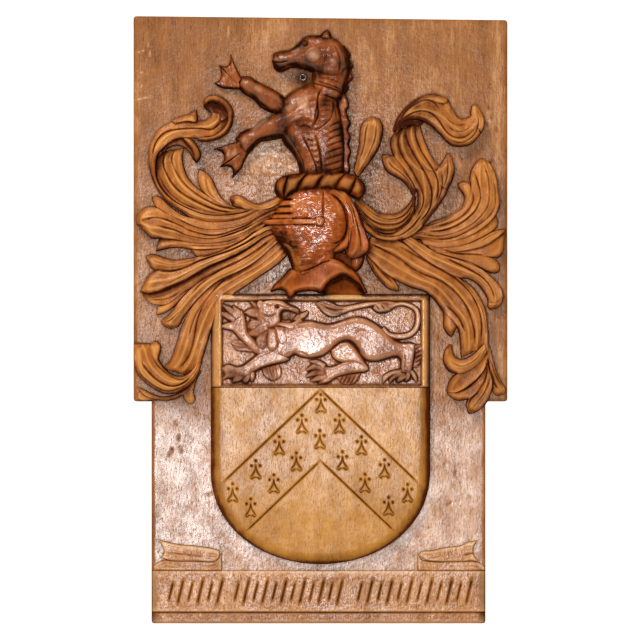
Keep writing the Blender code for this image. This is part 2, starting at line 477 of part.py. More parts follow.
def helmet():
    """The wreath, the helmet with its slots and bar, the drape behind it and the neck plate."""
    parts = {
        "wreath": part([(276, 189), (278, 182), (283, 177), (291, 176), (300, 173), (335, 172),
            (357, 178), (362, 183), (364, 190)], [(276, 192), (280, 197), (284, 198), (289, 194),
            (345, 192), (358, 199), (364, 194)], [31, 34, 35, 35, 35, 34, 31], roll=(12, 9)),
        "helmet": part([(255, 223), (270, 214), (290, 192), (318, 186), (333, 189), (343, 198),
            (348, 209), (349, 222)], [(256, 224), (275, 240), (289, 258), (292, 267), (300, 272),
            (331, 257), (348, 235), (349, 224)], [16, 24, 31, 36, 38, 39, 39, 38, 36], roll=(26, 17)),
        "helmet_bar": part([(257, 222), (270, 220), (317, 220)], [(258, 224), (270, 225), (317, 225)],
            [16.5, 24, 33, 39.5, 41], roll=(2.2, 1.2)),
        "pivot": part([(315, 222), (316, 218), (323, 219), (324, 222)], [(315, 222), (317, 225),
            (323, 225), (324, 222)], [42, 43, 42], roll=(4, 2.5)),
        "drape": leaf([(334, 190), (346, 194), (358, 215), (362, 225), (368, 244), (367, 252),
            (352, 258)], [(329, 192), (345, 208), (348, 231), (344, 247), (348, 258)],
            [33, 38, 39, 38, 36, 33, 29], flutes=2, hollow=2.6, bulge=3.5, tips=(0, 3)),
        "drape_curl": leaf([(326, 239), (328, 246), (332, 252), (338, 253), (344, 250), (350, 242),
            (351, 230)], [(329, 240), (332, 244), (336, 246), (345, 238), (348, 229)],
            [28, 30, 33, 36, 37], bulge=2.5, tips=(3, 0)),
        "drape_tail": leaf([(350, 255), (352, 268), (356, 271)], [(365, 254), (360, 268), (357, 271)],
            [21, 20, 17], bulge=3, tips=(0, 3)),
        "gorget": part([(271, 291), (283, 277), (290, 270), (301, 271), (325, 260), (335, 259),
            (354, 272), (366, 292)], [(272, 292), (278, 290), (284, 291), (290, 298), (297, 293),
            (313, 290), (322, 292), (327, 285), (345, 276), (360, 286), (364, 293)],
            [19, 23, 27, 30, 31, 30, 28, 24, 20], roll=(6, 3.5)),
        "gorget_inside": part([(322, 292), (328, 284), (345, 275), (353, 279), (365, 292)], [(323, 294),
            (345, 294), (364, 294)], [6, 6, 6], lean=[8, 10, 8]),
        "neck_shade": part([(322, 252), (332, 254), (345, 254), (352, 258)], [(324, 266), (336, 262),
            (356, 274)], [15, 15, 14]),
    }
    grooves = [
        groove([(284, 194), (286, 186), (289, 176)], 4.5, 4.5),
        groove([(301, 191), (304, 183), (311, 174)], 4.5, 4.5),
        groove([(318, 191), (321, 183), (329, 173)], 4.5, 4.5),
        groove([(336, 191), (338, 184), (344, 176)], 4.5, 4.5),
        groove([(353, 196), (357, 189), (359, 181)], 3, 1.5),
        groove([(280, 200), (286, 200), (292, 200)], 4, 5.5),
        groove([(276, 207), (284, 207), (292, 207)], 4, 5.5),
        groove([(272, 214), (282, 214), (292, 214)], 4, 6),
        groove([(324, 191), (323, 204), (323, 217)], 2.4, 1.6),
        groove([(261, 219), (285, 219), (314, 219)], 2.2, 1.6),
        groove([(259, 226), (285, 225), (314, 225)], 2.2, 1.6),
        groove([(328, 193), (338, 200), (344, 210), (346, 232), (336, 244), (330, 243)], 2.8, 2.6),
        groove([(352, 206), (360, 238), (361, 252)], 2.8, 1.6),
        groove([(300, 272), (312, 268), (324, 262), (334, 260)], 2.4, 2),
    ]
    return parts, grooves


def lion():
    """The lion of the shield's upper field, with its claws, mane locks and tufts."""
    parts = {
        "chest": part([(250, 318), (257, 342), (256, 352), (262, 358), (272, 360)], [(290, 320),
            (296, 330), (294, 352), (286, 360), (276, 362)], [15, 15.5, 15.5], roll=(5, 3.5),
            ends=(True, True)),
        "body": part([(280, 330), (287, 325.5), (310, 321), (330, 324), (358, 317), (374, 323),
            (396, 341), (403, 343), (410, 342.5), (415, 345)], [(278, 356), (283, 360), (295, 354),
            (300, 356), (320, 356.5), (341, 341.5), (348, 340), (354, 343.5), (366, 359.5), (375, 361),
            (398, 357), (401, 362)], [17, 17.5, 17.5, 17, 17.2, 18, 18.2, 17.5, 16], roll=(9, 5),
            ends=(False, False)),
        "thigh": part([(331, 350), (334, 358.5), (339, 361.5), (354, 363)], [(340, 342.5), (348, 342),
            (368.5, 368)], [15, 16, 16.5, 16], roll=(5, 3.5)),
        "shin": part([(322, 364), (327, 366.5), (352, 359.5), (360, 360), (366, 364), (368.5, 368)],
            [(324, 381), (331, 380), (338, 376.5), (358, 372.5), (365, 371.5), (368.5, 369.5)],
            [15, 16, 16, 15.5], roll=(5, 3.5)),
        "shank": part([(400, 345), (401, 360), (400.5, 372)], [(415, 344), (414.5, 352), (411.5, 372)],
            [16, 16.5, 16, 15], roll=(4, 3), ends=(False, False)),
        "fringe_rear": part([(413.5, 345), (414.5, 356), (412, 368)], [(424, 344), (422.5, 356),
            (418, 367.5)], [13.5, 14, 13], flutes=0, roll=(2.5, 2)),
        "fringe_shin": part([(337, 378), (341, 383), (347, 385), (354, 383.5), (358.5, 380)],
            [(337, 376.5), (346, 374.5), (361.5, 372.5)], [13, 13.5, 13], roll=(2.5, 2)),
        "far_tuft": part([(262, 367), (264, 374.5), (268, 379), (272.5, 381)], [(279, 364), (281, 370),
            (280.5, 376), (274.5, 381)], [14, 14.5, 13], flutes=3, hollow=1.2, roll=(2.5, 2)),
        "elbow_tuft": part([(256, 352.5), (246, 351), (238, 350.5), (232, 346)], [(252, 344.5),
            (238, 340), (230.5, 341)], [13.5, 14.5, 13], flutes=2, hollow=1.2, roll=(2.5, 2)),
        "foreleg_up": part([(256, 354), (240, 339), (229, 328.5), (224, 329)], [(262, 346), (248, 331.5),
            (245, 316), (242, 309)], [15, 16, 16, 15.5, 15], roll=(5, 3.5), ends=(False, True)),
        "foreleg_low": part([(268, 350), (260, 353), (243, 365.5), (235, 366.5), (226, 365), (221, 368)],
            [(290, 359), (284, 362), (253, 372), (250, 377), (240, 379), (226, 378)],
            [17, 17, 17, 16, 15.5], roll=(6, 4), ends=(False, True)),
        "head": part([(256, 318), (262, 302.5), (283, 301.5), (288, 304.5), (299, 309.5)], [(262, 328),
            (270, 328), (277, 325), (280.5, 320), (280.5, 313.5), (284, 310), (296, 312.5),
            (299.5, 314.5)], [16, 18, 19, 19, 18, 16.5], roll=(4, 3)),
        "jaw": part([(272, 322), (277, 321.5), (291, 323), (301, 317)], [(273, 327), (278, 326),
            (291, 330), (297, 327.5), (303, 321)], [17, 17.5, 17, 15.5], roll=(3, 2)),
        "tongue": part([(293, 320), (297, 315.5), (308, 311)], [(297, 322), (305, 317.5), (308.5, 313)],
            [15, 16, 15], roll=(3, 2)),
        "ear": part([(259, 310), (257, 304), (259, 300)], [(264, 308), (264, 302), (260.5, 300)],
            [18, 18, 16], roll=(2.5, 2)),
        "tail": part([(384, 327), (391, 333), (408, 332.5), (413.5, 327), (414.5, 311.5), (402, 305.5),
            (390, 309.5), (382, 311)], [(381, 329), (389, 337), (400, 339), (410, 337), (417.5, 330.5),
            (420.5, 320), (418.5, 310), (412, 304.5), (403, 302), (380, 304)],
            [16, 15.5, 15, 15, 15, 15, 15], roll=(2.6, 2.2), ends=(False, False)),
        "tail_knot": part([(372.5, 308), (375.5, 304), (387, 304)], [(373, 309), (377.5, 312),
            (391, 310)], [15, 17, 15.5], roll=(2.5, 2)),
        "tail_end": part([(374, 302), (366, 302.5), (343, 307)], [(374, 306), (350, 311), (342, 314)],
            [15, 14.5, 15], roll=(2.4, 2), ends=(False, False)),
        "tail_tuft": part([(346, 306.5), (338, 306), (331, 302.5), (323, 300.5), (315.5, 303.5)],
            [(344, 312.5), (338, 315.5), (331.5, 316.5), (325, 313.5), (316.5, 305)], [15, 16, 16, 14],
            flutes=3, hollow=1.3, roll=(2.5, 2)),
        "eye": disc(277, 306.5, 2.2, 19.8, 1.0),
    }
    grooves = [
        groove([(284, 361), (272, 364.5), (258, 368.5)], 2.4, 1.4),
    ]
    for paw, (wrist, tips) in enumerate(LION_PAWS):
        for claw, tip in enumerate(tips):
            parts[f"claw_{paw}_{claw}"] = lock(wrist, tip, 7, 16)
    for count, (root, tip) in enumerate(LION_MANE):
        parts[f"lock_{count}"] = lock(root, tip, 10, 18.5)
    for row in (349, 353.5, 358, 362.5, 366.5):
        grooves.append(groove([(414, row + 2), (419, row), (424, row - 3)], 2, 1.4))
    return parts, grooves


def motto_folds():
    """The folded ends of the motto ribbon."""
    parts = {
        "fold_l_top": part([(157.5, 539.5), (180, 544.5), (215, 549), (220, 551)], [(160.5, 557.5),
            (172, 560.5), (196, 561), (215, 561), (219.5, 557)], [5.5, 5, 5, 5.5, 5], roll=(2, 1.6),
            notch=(5, 0)),
        "fold_l_low": part([(153.5, 566.5), (164, 560), (176, 560.5), (192, 560.5), (217, 559.5),
            (221.5, 552)], [(154, 570), (170, 570.5), (222, 570.5)], [3.6, 3.4, 3.4, 3.8], roll=(2, 1.5)),
        "fold_r_top": part([(418.5, 555.5), (422, 551.5), (432, 550.5), (446, 547.5), (460, 545.5),
            (468, 542), (477.5, 540.5)], [(421.5, 557), (426, 560), (462, 561.5), (472, 560.5),
            (478.5, 561.5)], [5, 5.5, 5, 5, 5.5], roll=(2, 1.6), notch=(0, 5)),
        "fold_r_low": part([(417.5, 553), (422, 559.5), (478, 562), (484.5, 566.5)], [(417.5, 570.5),
            (468, 570.5), (485, 570)], [3.8, 3.4, 3.4, 3.6], roll=(2, 1.5)),
    }
    return parts, []


def shield_lines():
    """The line under the upper field, the chevron, its ermine spots and the motto band's edges."""
    grooves = [
        groove([(212, CHIEF_LINE), (429, CHIEF_LINE)], 3.6, 2.6),
        groove([(152, MOTTO_TOP), (485, MOTTO_TOP)], 3.6, 2.6),
        groove([(152, MOTTO_BOTTOM), (485, MOTTO_BOTTOM)], 3.0, 1.8),
    ]
    slope = CHEVRON_FALL / CHEVRON_REACH
    for top, reach in ((CHEVRON_TOP, CHEVRON_REACH), (CHEVRON_CROTCH, CHEVRON_INNER_REACH)):
        for side in (-1, 1):
            end = (CHEVRON_MIDDLE + side * reach, top + slope * reach)
            grooves.append(groove([(CHEVRON_MIDDLE, top), end], 4.4, 2.6))
    for column, row in ERMINE_SPOTS:
        for across, down in ((0, -8.6), (-4.4, -3.6), (4.4, -3.6)):
            dot = (column + across, row + down)
            grooves.append(groove([dot, (dot[0], dot[1] + 0.4)], 4.8, 2.4))
        for side in (-1, 1):
            tail = [(column, row - 3), (column + 1.5 * side, row + 3), (column + 5 * side, row + 9)]
            grooves.append(groove(tail, 4.0, 2.4))
    return {}, grooves


def motto_strokes():
    """Slanted wedge strokes in the place of the inscription."""
    grooves = []
    for start, end in STROKE_GROUPS:
        count = round((end - start) / STROKE_SPACING)
        for k in range(count + 1):
            x = start + (end - start) * k / count
            tall, width = (13, 4.4) if k % 2 else (9.5, 3.4)
            lean = STROKE_SLANT * tall
            grooves.append(groove([(x - lean, STROKE_ROW + tall), (x + lean, STROKE_ROW - tall)], width, 2.4))
    return {}, grooves


def shield_half(row):
    """Half the width of the shield at this row."""
    t = np.clip((row - SHIELD_BEND) / (SHIELD_TIP - SHIELD_BEND), 0, 1)
    return (SHIELD_RIGHT - SHIELD_LEFT) / 2 * (1 - t**2.15)**0.495


class Relief:
    """Heights above the ground on an even raster over the panel."""

    def __init__(self):
        self.x = np.arange(-256, 258, RASTER_PITCH)
        self.z = np.arange(-4, 820, RASTER_PITCH)
        self.h = np.zeros((len(self.z), len(self.x)))

    def sheet(self):
        """Sheet places of the raster's points."""
        return np.meshgrid(self.x / UNIT + SHEET_MIDDLE, SHEET_BOTTOM - self.z / UNIT)

    def index(self, place):
        """Raster rows and columns nearest to sheet places."""
        ix = np.rint((mm_x(place[..., 0]) - self.x[0]) / RASTER_PITCH).astype(int)
        iz = np.rint((mm_z(place[..., 1]) - self.z[0]) / RASTER_PITCH).astype(int)
        return np.clip(iz, 0, len(self.z) - 1), np.clip(ix, 0, len(self.x) - 1)

    def lay(self, grid):
        """Lays a patch over the raster, keeping what is higher."""
        fine = grid
        for axis in (0, 1):
            step = np.hypot(*np.moveaxis(np.diff(fine[..., :2], axis=axis), -1, 0)).max() * UNIT
            n = fine.shape[axis]
            at = np.linspace(0, n - 1, (n - 1) * max(1, math.ceil(1.7 * step / RASTER_PITCH)) + 1)
            low = np.minimum(at.astype(int), n - 2)
            k = (at - low).reshape((-1, 1, 1) if axis == 0 else (1, -1, 1))
            fine = np.take(fine, low, axis) * (1 - k) + np.take(fine, low + 1, axis) * k
        np.maximum.at(self.h, self.index(fine), fine[..., 2])

    def cut(self, points, width, depth):
        """Cuts a groove along a line, shallower at its ends."""
        reach = np.hypot(*np.diff(np.array(points, float), axis=0).T).sum() * UNIT
        line = smooth_line(points, max(2, int(reach / 0.8)))
        rows, columns = self.index(line)
        count = np.arange(len(line))
        fade = np.clip(np.minimum(count, count[::-1]) / (0.15 * len(line)), 0.35, 1)
        lowered = np.zeros_like(self.h)
        r = math.ceil(width / RASTER_PITCH) + 1
        for (x, y), row, column, f in zip(line, rows, columns, fade):
            near_z = slice(max(row - r, 0), row + r + 1)
            near_x = slice(max(column - r, 0), column + r + 1)
            away = np.hypot(self.x[None, near_x] - mm_x(x), self.z[near_z, None] - mm_z(y))
            deep = depth * f * np.clip(1 - away / (width / 2 + 0.4), 0, 1)
            lowered[near_z, near_x] = np.maximum(lowered[near_z, near_x], deep)
        self.h -= lowered

    def sink(self, x, y, radius, depth):
        """Sinks a round hollow."""
        sx, sy = self.sheet()
        self.h -= depth * np.clip(1 - ((sx - x)**2 + (sy - y)**2) / radius**2, 0, 1)

    def lay_shield_and_band(self):
        """Raises the shield with its sunk upper field, the motto band and the strip below it."""
        sx, sy = self.sheet()
        middle = (SHIELD_LEFT + SHIELD_RIGHT) / 2
        inside = (sy >= SHIELD_TOP) & (sy <= SHIELD_TIP) & (np.abs(sx - middle) < shield_half(sy))
        x, y = sx[inside], sy[inside]
        rows = np.concatenate([[SHIELD_TOP - 60], np.linspace(SHIELD_BEND, SHIELD_TIP, 30)])
        half = shield_half(rows)
        rim = np.column_stack([np.concatenate([middle - half, (middle + half)[::-1]]),
                               np.concatenate([rows, rows[::-1]])])
        h = SHIELD_RISE - round_over(gap_to(x, y, rim) * UNIT, SHIELD_ROLL, SHIELD_DROP)
        left, right, top, bottom = CHIEF_FRAME
        k = np.clip(np.minimum.reduce([x - left, right - x, y - top, bottom - y]) / 3 + 0.5, 0, 1)
        h = h - np.where(y < CHIEF_LINE, CHIEF_SINK * k * k * (3 - 2 * k) + 0.5, 0)
        self.h[inside] = np.maximum(self.h[inside], h)
        band = (sy > MOTTO_TOP) & (sy < MOTTO_BOTTOM)
        edge = np.minimum(sx - LOWER_LEFT, LOWER_RIGHT - sx) * UNIT
        self.h[band] = (MOTTO_RISE - round_over(edge, 8, 3.0))[band]
        self.h[sy >= MOTTO_BOTTOM] = STRIP_RISE

    def ease(self):
        """Gives steep walls a draft and softens the raster a little."""
        for _ in range(7):
            for dz, dx in ((0, 1), (1, 0), (1, 1), (1, -1)):
                fall = WALL_SLOPE * RASTER_PITCH * math.hypot(dz, dx)
                for sign in (1, -1):
                    near = np.roll(self.h, (sign * dz, sign * dx), (0, 1)) - fall
                    self.h = np.maximum(self.h, near)
        for axis in (0, 1):
            self.h = 0.25 * np.roll(self.h, 1, axis) + 0.5 * self.h + 0.25 * np.roll(self.h, -1, axis)

    def at(self, x, z):
        """Heights at places in millimetres."""
        fx = np.clip((x - self.x[0]) / RASTER_PITCH, 0, len(self.x) - 1.001)
        fz = np.clip((z - self.z[0]) / RASTER_PITCH, 0, len(self.z) - 1.001)
        ix, iz = fx.astype(int), fz.astype(int)
        kx, kz = fx - ix, fz - iz
        low = self.h[iz, ix] * (1 - kx) + self.h[iz, ix + 1] * kx
        high = self.h[iz + 1, ix] * (1 - kx) + self.h[iz + 1, ix + 1] * kx
        return low * (1 - kz) + high * kz


def carve():
    """Lays every part, then cuts every groove."""
    relief = Relief()
    relief.lay_shield_and_band()
    cuts = []
    for group in (left_mantling, right_mantling, crest, helmet, lion, motto_folds, shield_lines,
                  motto_strokes):
        parts, grooves = group()
        for grid in parts.values():
            relief.lay(grid)
        cuts += grooves
    for cut in cuts:
        relief.cut(*cut)
    relief.sink(*CREST_EYE)
    relief.sink(*LION_MOUTH)
    relief.ease()
    return relief


def panel_grid():
    """Grid lines that follow the stepped outline, and which cells are board."""
    step = mm_z(STEP_ROW)
    columns = []
    for a, b in ((UPPER_LEFT, LOWER_LEFT), (LOWER_LEFT, LOWER_RIGHT), (LOWER_RIGHT, UPPER_RIGHT)):
        n = round((mm_x(b) - mm_x(a)) / MESH_PITCH)
        columns.append(np.linspace(mm_x(a), mm_x(b), n + 1)[1 if columns else 0:])
    xs = np.concatenate(columns)
    lower = np.linspace(0, step, round(step / MESH_PITCH) + 1)
    upper = np.linspace(step, mm_z(SHEET_TOP), round((mm_z(SHEET_TOP) - step) / MESH_PITCH) + 1)
    zs = np.concatenate([lower, upper[1:]])
    x, z = np.meshgrid(xs, zs)
    right = (x - xs[0]) / (xs[-1] - xs[0])
    shrink = 1 - TOP_SLOPE * UNIT * right / (mm_z(SHEET_TOP) - step)
    z = np.where(z > step, step + (z - step) * shrink, z)
    mid_x = (xs[:-1] + xs[1:]) / 2
    mid_z = (zs[:-1] + zs[1:]) / 2
    narrow = (mid_x > mm_x(LOWER_LEFT)) & (mid_x < mm_x(LOWER_RIGHT))
    return x, z, (mid_z > step)[:, None] | narrow[None, :]


def round_corners(x, z):
    """Moves the grid's outer corner points onto small arcs."""
    top = mm_z(SHEET_TOP)
    slope = TOP_SLOPE * UNIT
    corners = ((mm_x(UPPER_LEFT), top, 1, -1), (mm_x(UPPER_RIGHT), top - slope, -1, -1),
               (mm_x(UPPER_LEFT), mm_z(STEP_ROW), 1, 1), (mm_x(UPPER_RIGHT), mm_z(STEP_ROW), -1, 1),
               (mm_x(LOWER_LEFT), 0, 1, 1), (mm_x(LOWER_RIGHT), 0, -1, 1))
    for cx, cz, sx, sz in corners:
        ox, oz = cx + sx * CORNER_RADIUS, cz + sz * CORNER_RADIUS
        dx, dz = x - ox, z - oz
        far = np.hypot(dx, dz)
        near = (dx * sx <= 0) & (dz * sz <= 0) & (far > CORNER_RADIUS) & (np.hypot(x - cx, z - cz) < 8)
        x = np.where(near, ox + dx / np.maximum(far, 1e-9) * CORNER_RADIUS, x)
        z = np.where(near, oz + dz / np.maximum(far, 1e-9) * CORNER_RADIUS, z)
    return x, z


def outline():
    """The board's stepped outline in millimetres."""
    top = mm_z(SHEET_TOP)
    step = mm_z(STEP_ROW)
    return [(mm_x(UPPER_LEFT), top), (mm_x(UPPER_RIGHT), top - TOP_SLOPE * UNIT),
            (mm_x(UPPER_RIGHT), step), (mm_x(LOWER_RIGHT), step), (mm_x(LOWER_RIGHT), 0),
            (mm_x(LOWER_LEFT), 0), (mm_x(LOWER_LEFT), step), (mm_x(UPPER_LEFT), step),
            (mm_x(UPPER_LEFT), top)]


def panel_mesh(relief):
    """The closed board: carved front, straight sides and a flat back."""
    x, z, solid = panel_grid()
    h = relief.at(x, z) - round_over(gap_to(x, z, outline()), ARRIS_WIDTH, ARRIS_DROP)
    x, z = round_corners(x, z)
    rows, columns = x.shape
    number = np.arange(rows * columns).reshape(rows, columns)
    quads = np.stack([number[:-1, :-1], number[:-1, 1:], number[1:, 1:], number[1:, :-1]], axis=-1)[solid]
    used = np.unique(quads)
    renumber = np.full(rows * columns, -1)
    renumber[used] = np.arange(len(used))
    quads = renumber[quads]
    depth = -(BOARD_THICKNESS + h)
    front = np.column_stack([v.ravel()[used] for v in (x, depth, z - HANG_HEIGHT)]) / 1000
    ahead = {}
    edges = {(q[k], q[(k + 1) % 4]) for q in quads.tolist() for k in range(4)}
    for a, b in edges:
        if (b, a) not in edges:
            ahead[a] = b
    loop = [min(ahead)]
    while ahead[loop[-1]] != loop[0]:
        loop.append(ahead[loop[-1]])
    back = front[loop] * (1, 0, 1)
    first = len(front)
    walls = []
    for k, a in enumerate(loop):
        j = (k + 1) % len(loop)
        walls.append((loop[j], a, first + k, first + j))
    rear = [tuple(range(first + len(loop) - 1, first - 1, -1))]
    mesh = bpy.data.meshes.new("carved_panel")
    mesh.from_pydata(np.vstack([front, back]).tolist(), [], quads.tolist() + walls + rear)
    mesh.validate()
    return mesh


def material(name, colour, roughness, metallic=0.0):
    made = bpy.data.materials.new(name)
    made.use_nodes = True
    shader = made.node_tree.nodes["Principled BSDF"]
    shader.inputs["Base Color"].default_value = (*colour, 1)
    shader.inputs["Roughness"].default_value = roughness
    shader.inputs["Metallic"].default_value = metallic
    return made


def ring_point(along):
    """A place on the screw eye's axis, this far from the ring's middle, in metres."""
    x = mm_x(RING_PLACE[0]) + along * math.cos(SHANK_TILT)
    z = mm_z(RING_PLACE[1]) - HANG_HEIGHT + along * math.sin(SHANK_TILT)
    return (x / 1000, -(BOARD_THICKNESS + RING_HEIGHT) / 1000, z / 1000)


def rod(name, start, end, radius):
    """A rod along the screw eye's axis."""
    bpy.ops.mesh.primitive_cylinder_add(vertices=14, radius=radius / 1000, depth=(end - start) / 1000,
                                        location=ring_point((start + end) / 2),
                                        rotation=(0, math.pi / 2 - SHANK_TILT, 0))
    made = bpy.context.object
    made.name = name
    return made


def combine(target, other, operation):
    change = target.modifiers.new(operation.lower(), "BOOLEAN")
    change.operation = operation
    change.solver = "EXACT"
    change.object = other
    other.hide_render = True
    other.display_type = "WIRE"


def build_panel():
    mesh = panel_mesh(carve())
    panel = bpy.data.objects.new("carved_panel", mesh)
    bpy.context.collection.objects.link(panel)
    fewer = panel.modifiers.new("fewer_faces", "DECIMATE")
    fewer.decimate_type = "COLLAPSE"
    mesh.calc_loop_triangles()
    fewer.ratio = PANEL_TRIANGLES / len(mesh.loop_triangles)
    fewer.use_collapse_triangulate = True
    combine(panel, rod("pilot_hole", 7.0, HOLE_END, SHANK_RADIUS + HOLE_GAP), "DIFFERENCE")
    mesh.materials.append(material("carved_wood", (0.36, 0.17, 0.07), 0.35))
    return panel


def build_ring():
    bpy.ops.mesh.primitive_torus_add(major_segments=22, minor_segments=9, major_radius=RING_RADIUS / 1000,
                                     minor_radius=RING_WIRE / 1000, location=ring_point(0),
                                     rotation=(math.pi / 2, 0, 0))
    ring = bpy.context.object
    ring.name = "collar_ring"
    combine(ring, rod("shank", RING_RADIUS, SHANK_END, SHANK_RADIUS), "UNION")
    ring.data.materials.append(material("steel", (0.45, 0.43, 0.4), 0.35, 1.0))
    for face in ring.data.polygons:
        face.use_smooth = True
    return ring


def main():
    clear_scene()
    build_panel()
    build_ring()


main()
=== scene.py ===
# %% [markdown]
# A carved wooden coat of arms, dressed around its finished solids.
#
# On the real object everything is cut from one board: a stepped panel, leafy cloth on both sides, a helmet
# with a sea-horse crest, a shield and a motto band. A sculptor could push clay about by hand, but a script
# can't see its work, so here each leaf, limb or lock is drawn as two edge lines and a row of heights, and
# becomes a closed solid standing in the board. The heights and outlines are those of the solids in the
# frame, so the dressed panel keeps their form and size.

# %% Load the frame
import math

import bpy
import numpy as np
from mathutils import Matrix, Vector


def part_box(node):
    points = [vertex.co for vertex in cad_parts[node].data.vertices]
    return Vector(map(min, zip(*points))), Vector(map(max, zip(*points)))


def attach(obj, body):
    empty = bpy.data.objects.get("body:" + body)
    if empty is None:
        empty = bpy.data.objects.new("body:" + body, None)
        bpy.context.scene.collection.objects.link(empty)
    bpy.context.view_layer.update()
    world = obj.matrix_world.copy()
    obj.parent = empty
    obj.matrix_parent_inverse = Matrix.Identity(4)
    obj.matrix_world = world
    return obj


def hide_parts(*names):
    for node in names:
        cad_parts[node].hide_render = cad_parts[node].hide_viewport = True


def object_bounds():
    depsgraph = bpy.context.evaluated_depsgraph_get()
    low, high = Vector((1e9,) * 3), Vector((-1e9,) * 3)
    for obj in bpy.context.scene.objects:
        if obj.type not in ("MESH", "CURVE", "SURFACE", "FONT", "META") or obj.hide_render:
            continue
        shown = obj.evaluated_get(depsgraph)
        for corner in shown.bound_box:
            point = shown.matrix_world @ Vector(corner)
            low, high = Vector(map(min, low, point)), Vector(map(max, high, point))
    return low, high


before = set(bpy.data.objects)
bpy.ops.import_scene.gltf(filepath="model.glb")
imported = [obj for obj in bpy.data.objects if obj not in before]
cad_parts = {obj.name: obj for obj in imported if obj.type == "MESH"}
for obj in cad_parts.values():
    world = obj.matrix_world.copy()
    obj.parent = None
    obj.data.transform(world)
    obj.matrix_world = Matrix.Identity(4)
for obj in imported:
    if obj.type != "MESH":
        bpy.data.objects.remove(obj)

cad_low, cad_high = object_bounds()
panel_low, panel_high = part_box("carved_panel")
print("panel", [round(v, 4) for v in panel_low], [round(v, 4) for v in panel_high])

# %% [markdown]
# Outlines are drawn on a layout sheet with x to the right and y down, and heights are in millimetres above
# the carved ground. One sheet unit is worked out from the frame: the panel is so many sheet units tall.

# %% Sizes on the layout sheet
SHEET_TOP = 16.0
SHEET_BOTTOM = 623.5
SHEET_MIDDLE = 320.0
UNIT = 1000 * (panel_high.z - panel_low.z) / (SHEET_BOTTOM - SHEET_TOP)
HANG_HEIGHT = -1000 * panel_low.z
BOARD_THICKNESS = 26.0
UPPER_LEFT, UPPER_RIGHT = 133.5, 507.5
LOWER_LEFT, LOWER_RIGHT = 151.5, 485.5
STEP_ROW = 401.5
TOP_SLOPE = 4.0
MOTTO_TOP, MOTTO_BOTTOM = 570.2, 611.7


def mm_x(column):
    return (column - SHEET_MIDDLE) * UNIT


def mm_z(row):
    return (SHEET_BOTTOM - row) * UNIT


def on_sheet(x, z):
    """Sheet places from millimetres on the panel."""
    return x / UNIT + SHEET_MIDDLE, SHEET_BOTTOM - z / UNIT


def in_frame(x, z, height):
    """Points of the frame, in metres, from millimetres on the panel and above its ground."""
    return np.stack([x, -(BOARD_THICKNESS + height), z - HANG_HEIGHT], axis=-1) / 1000


print("one sheet unit is", round(UNIT, 4), "mm")

# %% [markdown]
# The floor lies well below the panel, because the real one hangs on a wall. The camera looks straight at
# the carving from far away, as a long lens does, so that the outline has hardly any perspective.

# %% Camera, floor and light
FRAME_WIDTH = 640 * UNIT / 1000
FRAME_MIDDLE_ROW = 320.0
CAMERA_DISTANCE = 5.5
SENSOR_WIDTH = 36.0
FLOOR_DROP = 0.16
FLOOR_SIZE = (1.7, 1.2, 1)
FLOOR_COLOUR = (0.86, 0.86, 0.85, 1)
EVEN_LIGHT, SURROUND = 0.14, 1.15
LIGHTS = (
    ("flash", (-0.06, -4.9, 0.02), (0, 0, -0.2), 0.35, 0.35, 46),
    ("window_above", (-0.9, -1.7, 1.6), (0, 0, -0.15), 0.8, 0.6, 64),
    ("glare_low_left", (-0.46, -4.6, -0.61), (0, 0, -0.25), 0.4, 0.6, 86),
    ("glare_low_right", (0.36, -4.6, -0.55), (0, 0, -0.25), 0.35, 0.65, 34),
)


def add_camera():
    height = (mm_z(FRAME_MIDDLE_ROW) - HANG_HEIGHT) / 1000
    bpy.ops.object.camera_add(location=(0, -CAMERA_DISTANCE, height), rotation=(math.pi / 2, 0, 0))
    camera = bpy.context.object
    camera.data.sensor_width = SENSOR_WIDTH
    reach = CAMERA_DISTANCE - BOARD_THICKNESS / 1000
    camera.data.lens = SENSOR_WIDTH * reach / FRAME_WIDTH
    bpy.context.scene.camera = camera


def add_light(name, place, aim, width, height, power):
    """A soft rectangular light at a place, turned towards a point."""
    bpy.ops.object.light_add(type="AREA", location=place)
    light = bpy.context.object
    light.name = name
    light.data.shape = "RECTANGLE"
    light.data.size = width
    light.data.size_y = height
    light.data.energy = power
    to_aim = Vector(a - b for a, b in zip(aim, place))
    light.rotation_euler = to_aim.to_track_quat("-Z", "Y").to_euler()


def add_world(strength, seen):
    """Even light from all round; the camera itself sees a brighter, white surround."""
    world = bpy.data.worlds.new("studio")
    bpy.context.scene.world = world
    world.use_nodes = True
    nodes, links = world.node_tree.nodes, world.node_tree.links
    back = nodes["Background"]
    back.inputs["Color"].default_value = (1, 1, 1, 1)
    path = nodes.new("ShaderNodeLightPath")
    level = nodes.new("ShaderNodeMix")
    level.inputs["A"].default_value = strength
    level.inputs["B"].default_value = seen
    links.new(path.outputs["Is Camera Ray"], level.inputs["Factor"])
    links.new(level.outputs["Result"], back.inputs["Strength"])


def add_floor():
    bpy.ops.mesh.primitive_grid_add(x_subdivisions=12, y_subdivisions=8, size=1, location=(0, 0, 0))
    floor = bpy.context.object
    floor.name = "studio_floor"
    floor.scale = FLOOR_SIZE
    floor.location = (0, 0, cad_low.z - FLOOR_DROP)
    pale = bpy.data.materials.new("pale_floor")
    pale.use_nodes = True
    shader = pale.node_tree.nodes["Principled BSDF"]
    shader.inputs["Base Color"].default_value = FLOOR_COLOUR
    shader.inputs["Roughness"].default_value = 0.7
    floor.data.materials.append(pale)


bpy.ops.object.select_all(action="DESELECT")
bpy.context.scene.view_settings.view_transform = "Standard"
add_camera()
add_world(EVEN_LIGHT, SURROUND)
for name, place, aim, width, height, power in LIGHTS:
    add_light(name, place, aim, width, height, power)
add_floor()

# %% [markdown]
# An edge of a leaf is a curve through a few points. A centripetal spline passes through all of them and
# doesn't swing out between two close ones. Heights along a leaf are spread in the same way.

# %% Smooth lines


